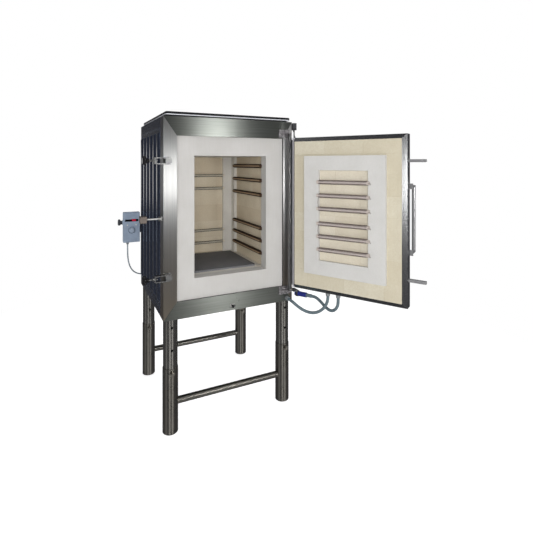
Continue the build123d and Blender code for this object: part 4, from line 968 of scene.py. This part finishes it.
# Controller: a grey moulded case on a steel holder at the left, with a display window, two keys, a
# dial and the main switch on its side.
case_plastic = moulded("case_plastic", (150, 165, 183), (166, 182, 200), 0.4)
dress(case_plastic, "controller_case")
dress(moulded("face_plastic", (146, 160, 179), (162, 177, 197), 0.4), "controller_face")
dress(moulded("key_plastic", (206, 204, 198), (222, 220, 214), 0.4), "key_left", "key_right")
dress(moulded("dial_plastic", (150, 164, 182), (168, 182, 200), 0.35), "controller_dial")
dress(zinc, "controller_holder", "plug_bracket")
FACE_MID = -0.473
FACE_Y = 0.3115
SWITCH_Y = 0.332
SWITCH_Z = 1.082
switch_grey = moulded("switch_grey", (62, 64, 68), (82, 84, 90), 0.25, depth=0.00005)
lobed_knob("switch_knob", "main_switch_knob", "main_switch", SWITCH_Y, SWITCH_Z, 0.023, 0.0125, 3,
           switch_grey)


def box_shape(shape, low, high):
    """Add a plain block to a mesh under construction."""
    centre = (Vector(low) + Vector(high)) / 2
    scale = Matrix.Diagonal((*(Vector(high) - Vector(low)), 1.0))
    block = bmesh.ops.create_cube(shape, size=1.0, matrix=Matrix.Translation(centre) @ scale)
    return block["verts"]


WINDOW_Z = 1.096
WINDOW_HALF = 0.044
WINDOW_RISE = 0.0075
PANE = 0.0006
glass, tree, shader, spot = finish("window_glass", 0.12)
tone = clouded(tree, spot, 0.02)
paint(tree, shader, shade(tree, tone, srgb(10, 10, 14), srgb(16, 16, 22)))
pane = bmesh.new()
box_shape(pane, (FACE_MID - WINDOW_HALF, FACE_Y - PANE, WINDOW_Z - WINDOW_RISE),
          (FACE_MID + WINDOW_HALF, FACE_Y, WINDOW_Z + WINDOW_RISE))
window = built("display_window", pane, glass)

lit, tree, shader, spot = finish("lit_segments", 0.4)
tone = clouded(tree, spot, 0.004)
red = shade(tree, tone, srgb(206, 16, 52), srgb(236, 30, 74))
paint(tree, shader, red)
feed(tree, shader.inputs["Emission Color"], red)
shader.inputs["Emission Strength"].default_value = 0.9
DIGIT_W = 0.006
DIGIT_H = 0.0105
DIGIT_GAP = 0.0028
DIGITS_IN = 0.003
DIGIT_FACE = 0.001
STROKE = 0.0014
SEGMENTS = {"2": "abged", "5": "afgcd", "9": "abcdfg"}
half = DIGIT_H / 2
strokes = {"a": (0, DIGIT_H - STROKE, DIGIT_W, STROKE), "g": (0, half - STROKE / 2, DIGIT_W, STROKE),
           "d": (0, 0, DIGIT_W, STROKE), "f": (0, half, STROKE, half), "e": (0, 0, STROKE, half),
           "b": (DIGIT_W - STROKE, half, STROKE, half), "c": (DIGIT_W - STROKE, 0, STROKE, half)}
digits = bmesh.new()
for index, digit in enumerate("925"):
    left = FACE_MID + DIGITS_IN + index * (DIGIT_W + DIGIT_GAP)
    low = WINDOW_Z - half
    for key in SEGMENTS[digit]:
        x, z, wide, tall = strokes[key]
        box_shape(digits, (left + x, FACE_Y - DIGIT_FACE, low + z),
                  (left + x + wide, FACE_Y - PANE, low + z + tall))
shown = built("display_digits", digits, lit)

ink = moulded("printed_ink", (34, 38, 50), (44, 49, 62), 0.5)
DIAL_Z = 1.029
SCALE_R = 0.0225
RING_W = 0.0022
RING_FACE = 0.0016
RING_THICK = 0.0012
RING_STEPS = 96
TICKS = 11
TICK_HALF = 0.0004
TICK_THICK = 0.0003
TICK_LENGTH = 0.003
TICK_OUT = 0.002
marks = bmesh.new()
for step in range(RING_STEPS):
    start, end = 2 * pi * step / RING_STEPS, 2 * pi * (step + 1) / RING_STEPS
    inside = SCALE_R - RING_W
    corners = []
    for turn, reach in ((start, inside), (end, inside), (end, SCALE_R), (start, SCALE_R)):
        corners.append((FACE_MID + reach * cos(turn), FACE_Y - RING_FACE, DIAL_Z + reach * sin(turn)))
    front = [marks.verts.new(corner) for corner in corners]
    rear = [marks.verts.new((x, y + RING_THICK, z)) for x, y, z in corners]
    marks.faces.new(front)
    marks.faces.new(rear[::-1])
    for i in range(4):
        marks.faces.new((front[i], rear[i], rear[(i + 1) % 4], front[(i + 1) % 4]))
for step in range(TICKS):
    turn = radians(225 - 270 * step / (TICKS - 1))
    tick = box_shape(marks, (-TICK_HALF, FACE_Y - TICK_THICK, 0.0), (TICK_HALF, FACE_Y, TICK_LENGTH))
    place = Matrix.Translation((FACE_MID, 0, DIAL_Z)) @ Matrix.Rotation(pi / 2 - turn, 4, "Y")
    bmesh.ops.transform(marks, matrix=place @ Matrix.Translation((0, 0, SCALE_R + TICK_OUT)), verts=tick)
bmesh.ops.remove_doubles(marks, verts=marks.verts, dist=0.00001)
bmesh.ops.recalc_face_normals(marks, faces=marks.faces)
scale_marks = built("dial_scale", marks, ink)
for piece in (window, shown, scale_marks):
    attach(piece, "kiln")

NEEDLE_HALF = 0.0008
NEEDLE_FACE = (0.0124, 0.012)
NEEDLE_SPAN = (0.004, 0.0125)
pointer = bmesh.new()
box_shape(pointer, (FACE_MID - NEEDLE_HALF, FACE_Y - NEEDLE_FACE[0], DIAL_Z + NEEDLE_SPAN[0]),
          (FACE_MID + NEEDLE_HALF, FACE_Y - NEEDLE_FACE[1], DIAL_Z + NEEDLE_SPAN[1]))
pointer_paint = moulded("pointer_paint", (226, 226, 224), (236, 236, 234), 0.4)
needle = built("dial_pointer", pointer, pointer_paint)
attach(needle, "dial")

# Rear gear: a grey enamelled switchgear housing, the steel flue pipe on its plate, and the head of
# the temperature probe. Rear panel, flue plate and housing are held by zinc plated screws.
dress(enamel("housing_enamel", (150, 152, 154), (170, 172, 174), (200, 200, 200), 0.4, 0.1),
      "switchgear_housing")
dress(zinc, "flue_pipe")
REAR_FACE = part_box("rear_panel")[1].y
REAR_HALF = 0.385
REAR_SPAN = (0.655, 1.735)
REAR_ROWS = 8
SCREW_HEAD = 0.0026
PANEL_SCREW_R = 0.0055
backwards = (-pi / 2, 0.0, 0.0)
gap = (REAR_SPAN[1] - REAR_SPAN[0]) / (REAR_ROWS - 1)
rows = [REAR_SPAN[0] + gap * step for step in range(REAR_ROWS)]
panel_screws = [(side * REAR_HALF, REAR_FACE, z) for side in (-1, 1) for z in rows]
panel_screws += [(x, REAR_FACE, REAR_SPAN[1]) for x in (-0.19, 0.0, 0.19)]
FLUE_MID = (-0.112, 1.480)
FLUE_PLATE_FACE = REAR_FACE + 0.003
FLUE_BOLT = 0.053
FLUE_SCREW_R = 0.005
flue_screws = [(FLUE_MID[0] + x, FLUE_PLATE_FACE, FLUE_MID[1] + z) for x in (-FLUE_BOLT, FLUE_BOLT)
               for z in (-FLUE_BOLT, FLUE_BOLT)]
low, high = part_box("switchgear_housing")
COVER_SCREW_IN = 0.03
COVER_SCREW_R = 0.005
heights = [low.z + share * (high.z - low.z) for share in (0.08, 0.5, 0.92)]
left_screws, right_screws = [[(x, high.y - COVER_SCREW_IN, z) for z in heights] for x in (low.x, high.x)]
for name, points, radius, turn in (
        ("rear_panel_screws", panel_screws, PANEL_SCREW_R, backwards),
        ("flue_screws", flue_screws, FLUE_SCREW_R, backwards),
        ("cover_screws_left", left_screws, COVER_SCREW_R, (0.0, -pi / 2, 0.0)),
        ("cover_screws_right", right_screws, COVER_SCREW_R, (0.0, pi / 2, 0.0))):
    screws = run_nodes(name, points, screw_rows, Head_Radius=radius, Head_Height=SCREW_HEAD,
                       Turn_To=turn, Material=zinc)
    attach(screws, "kiln")
dress(moulded("probe_head", (150, 150, 148), (176, 176, 174), 0.45), "thermocouple")

# Plug for the door's heating circuit: a blue moulded plug held in a clip under the casing, with a
# grey adaptor to the upper hose.
dress(moulded("plug_blue", (34, 42, 118), (50, 60, 146), 0.34), "conduit_plug")
dress(hose_plastic, "plug_adaptor")
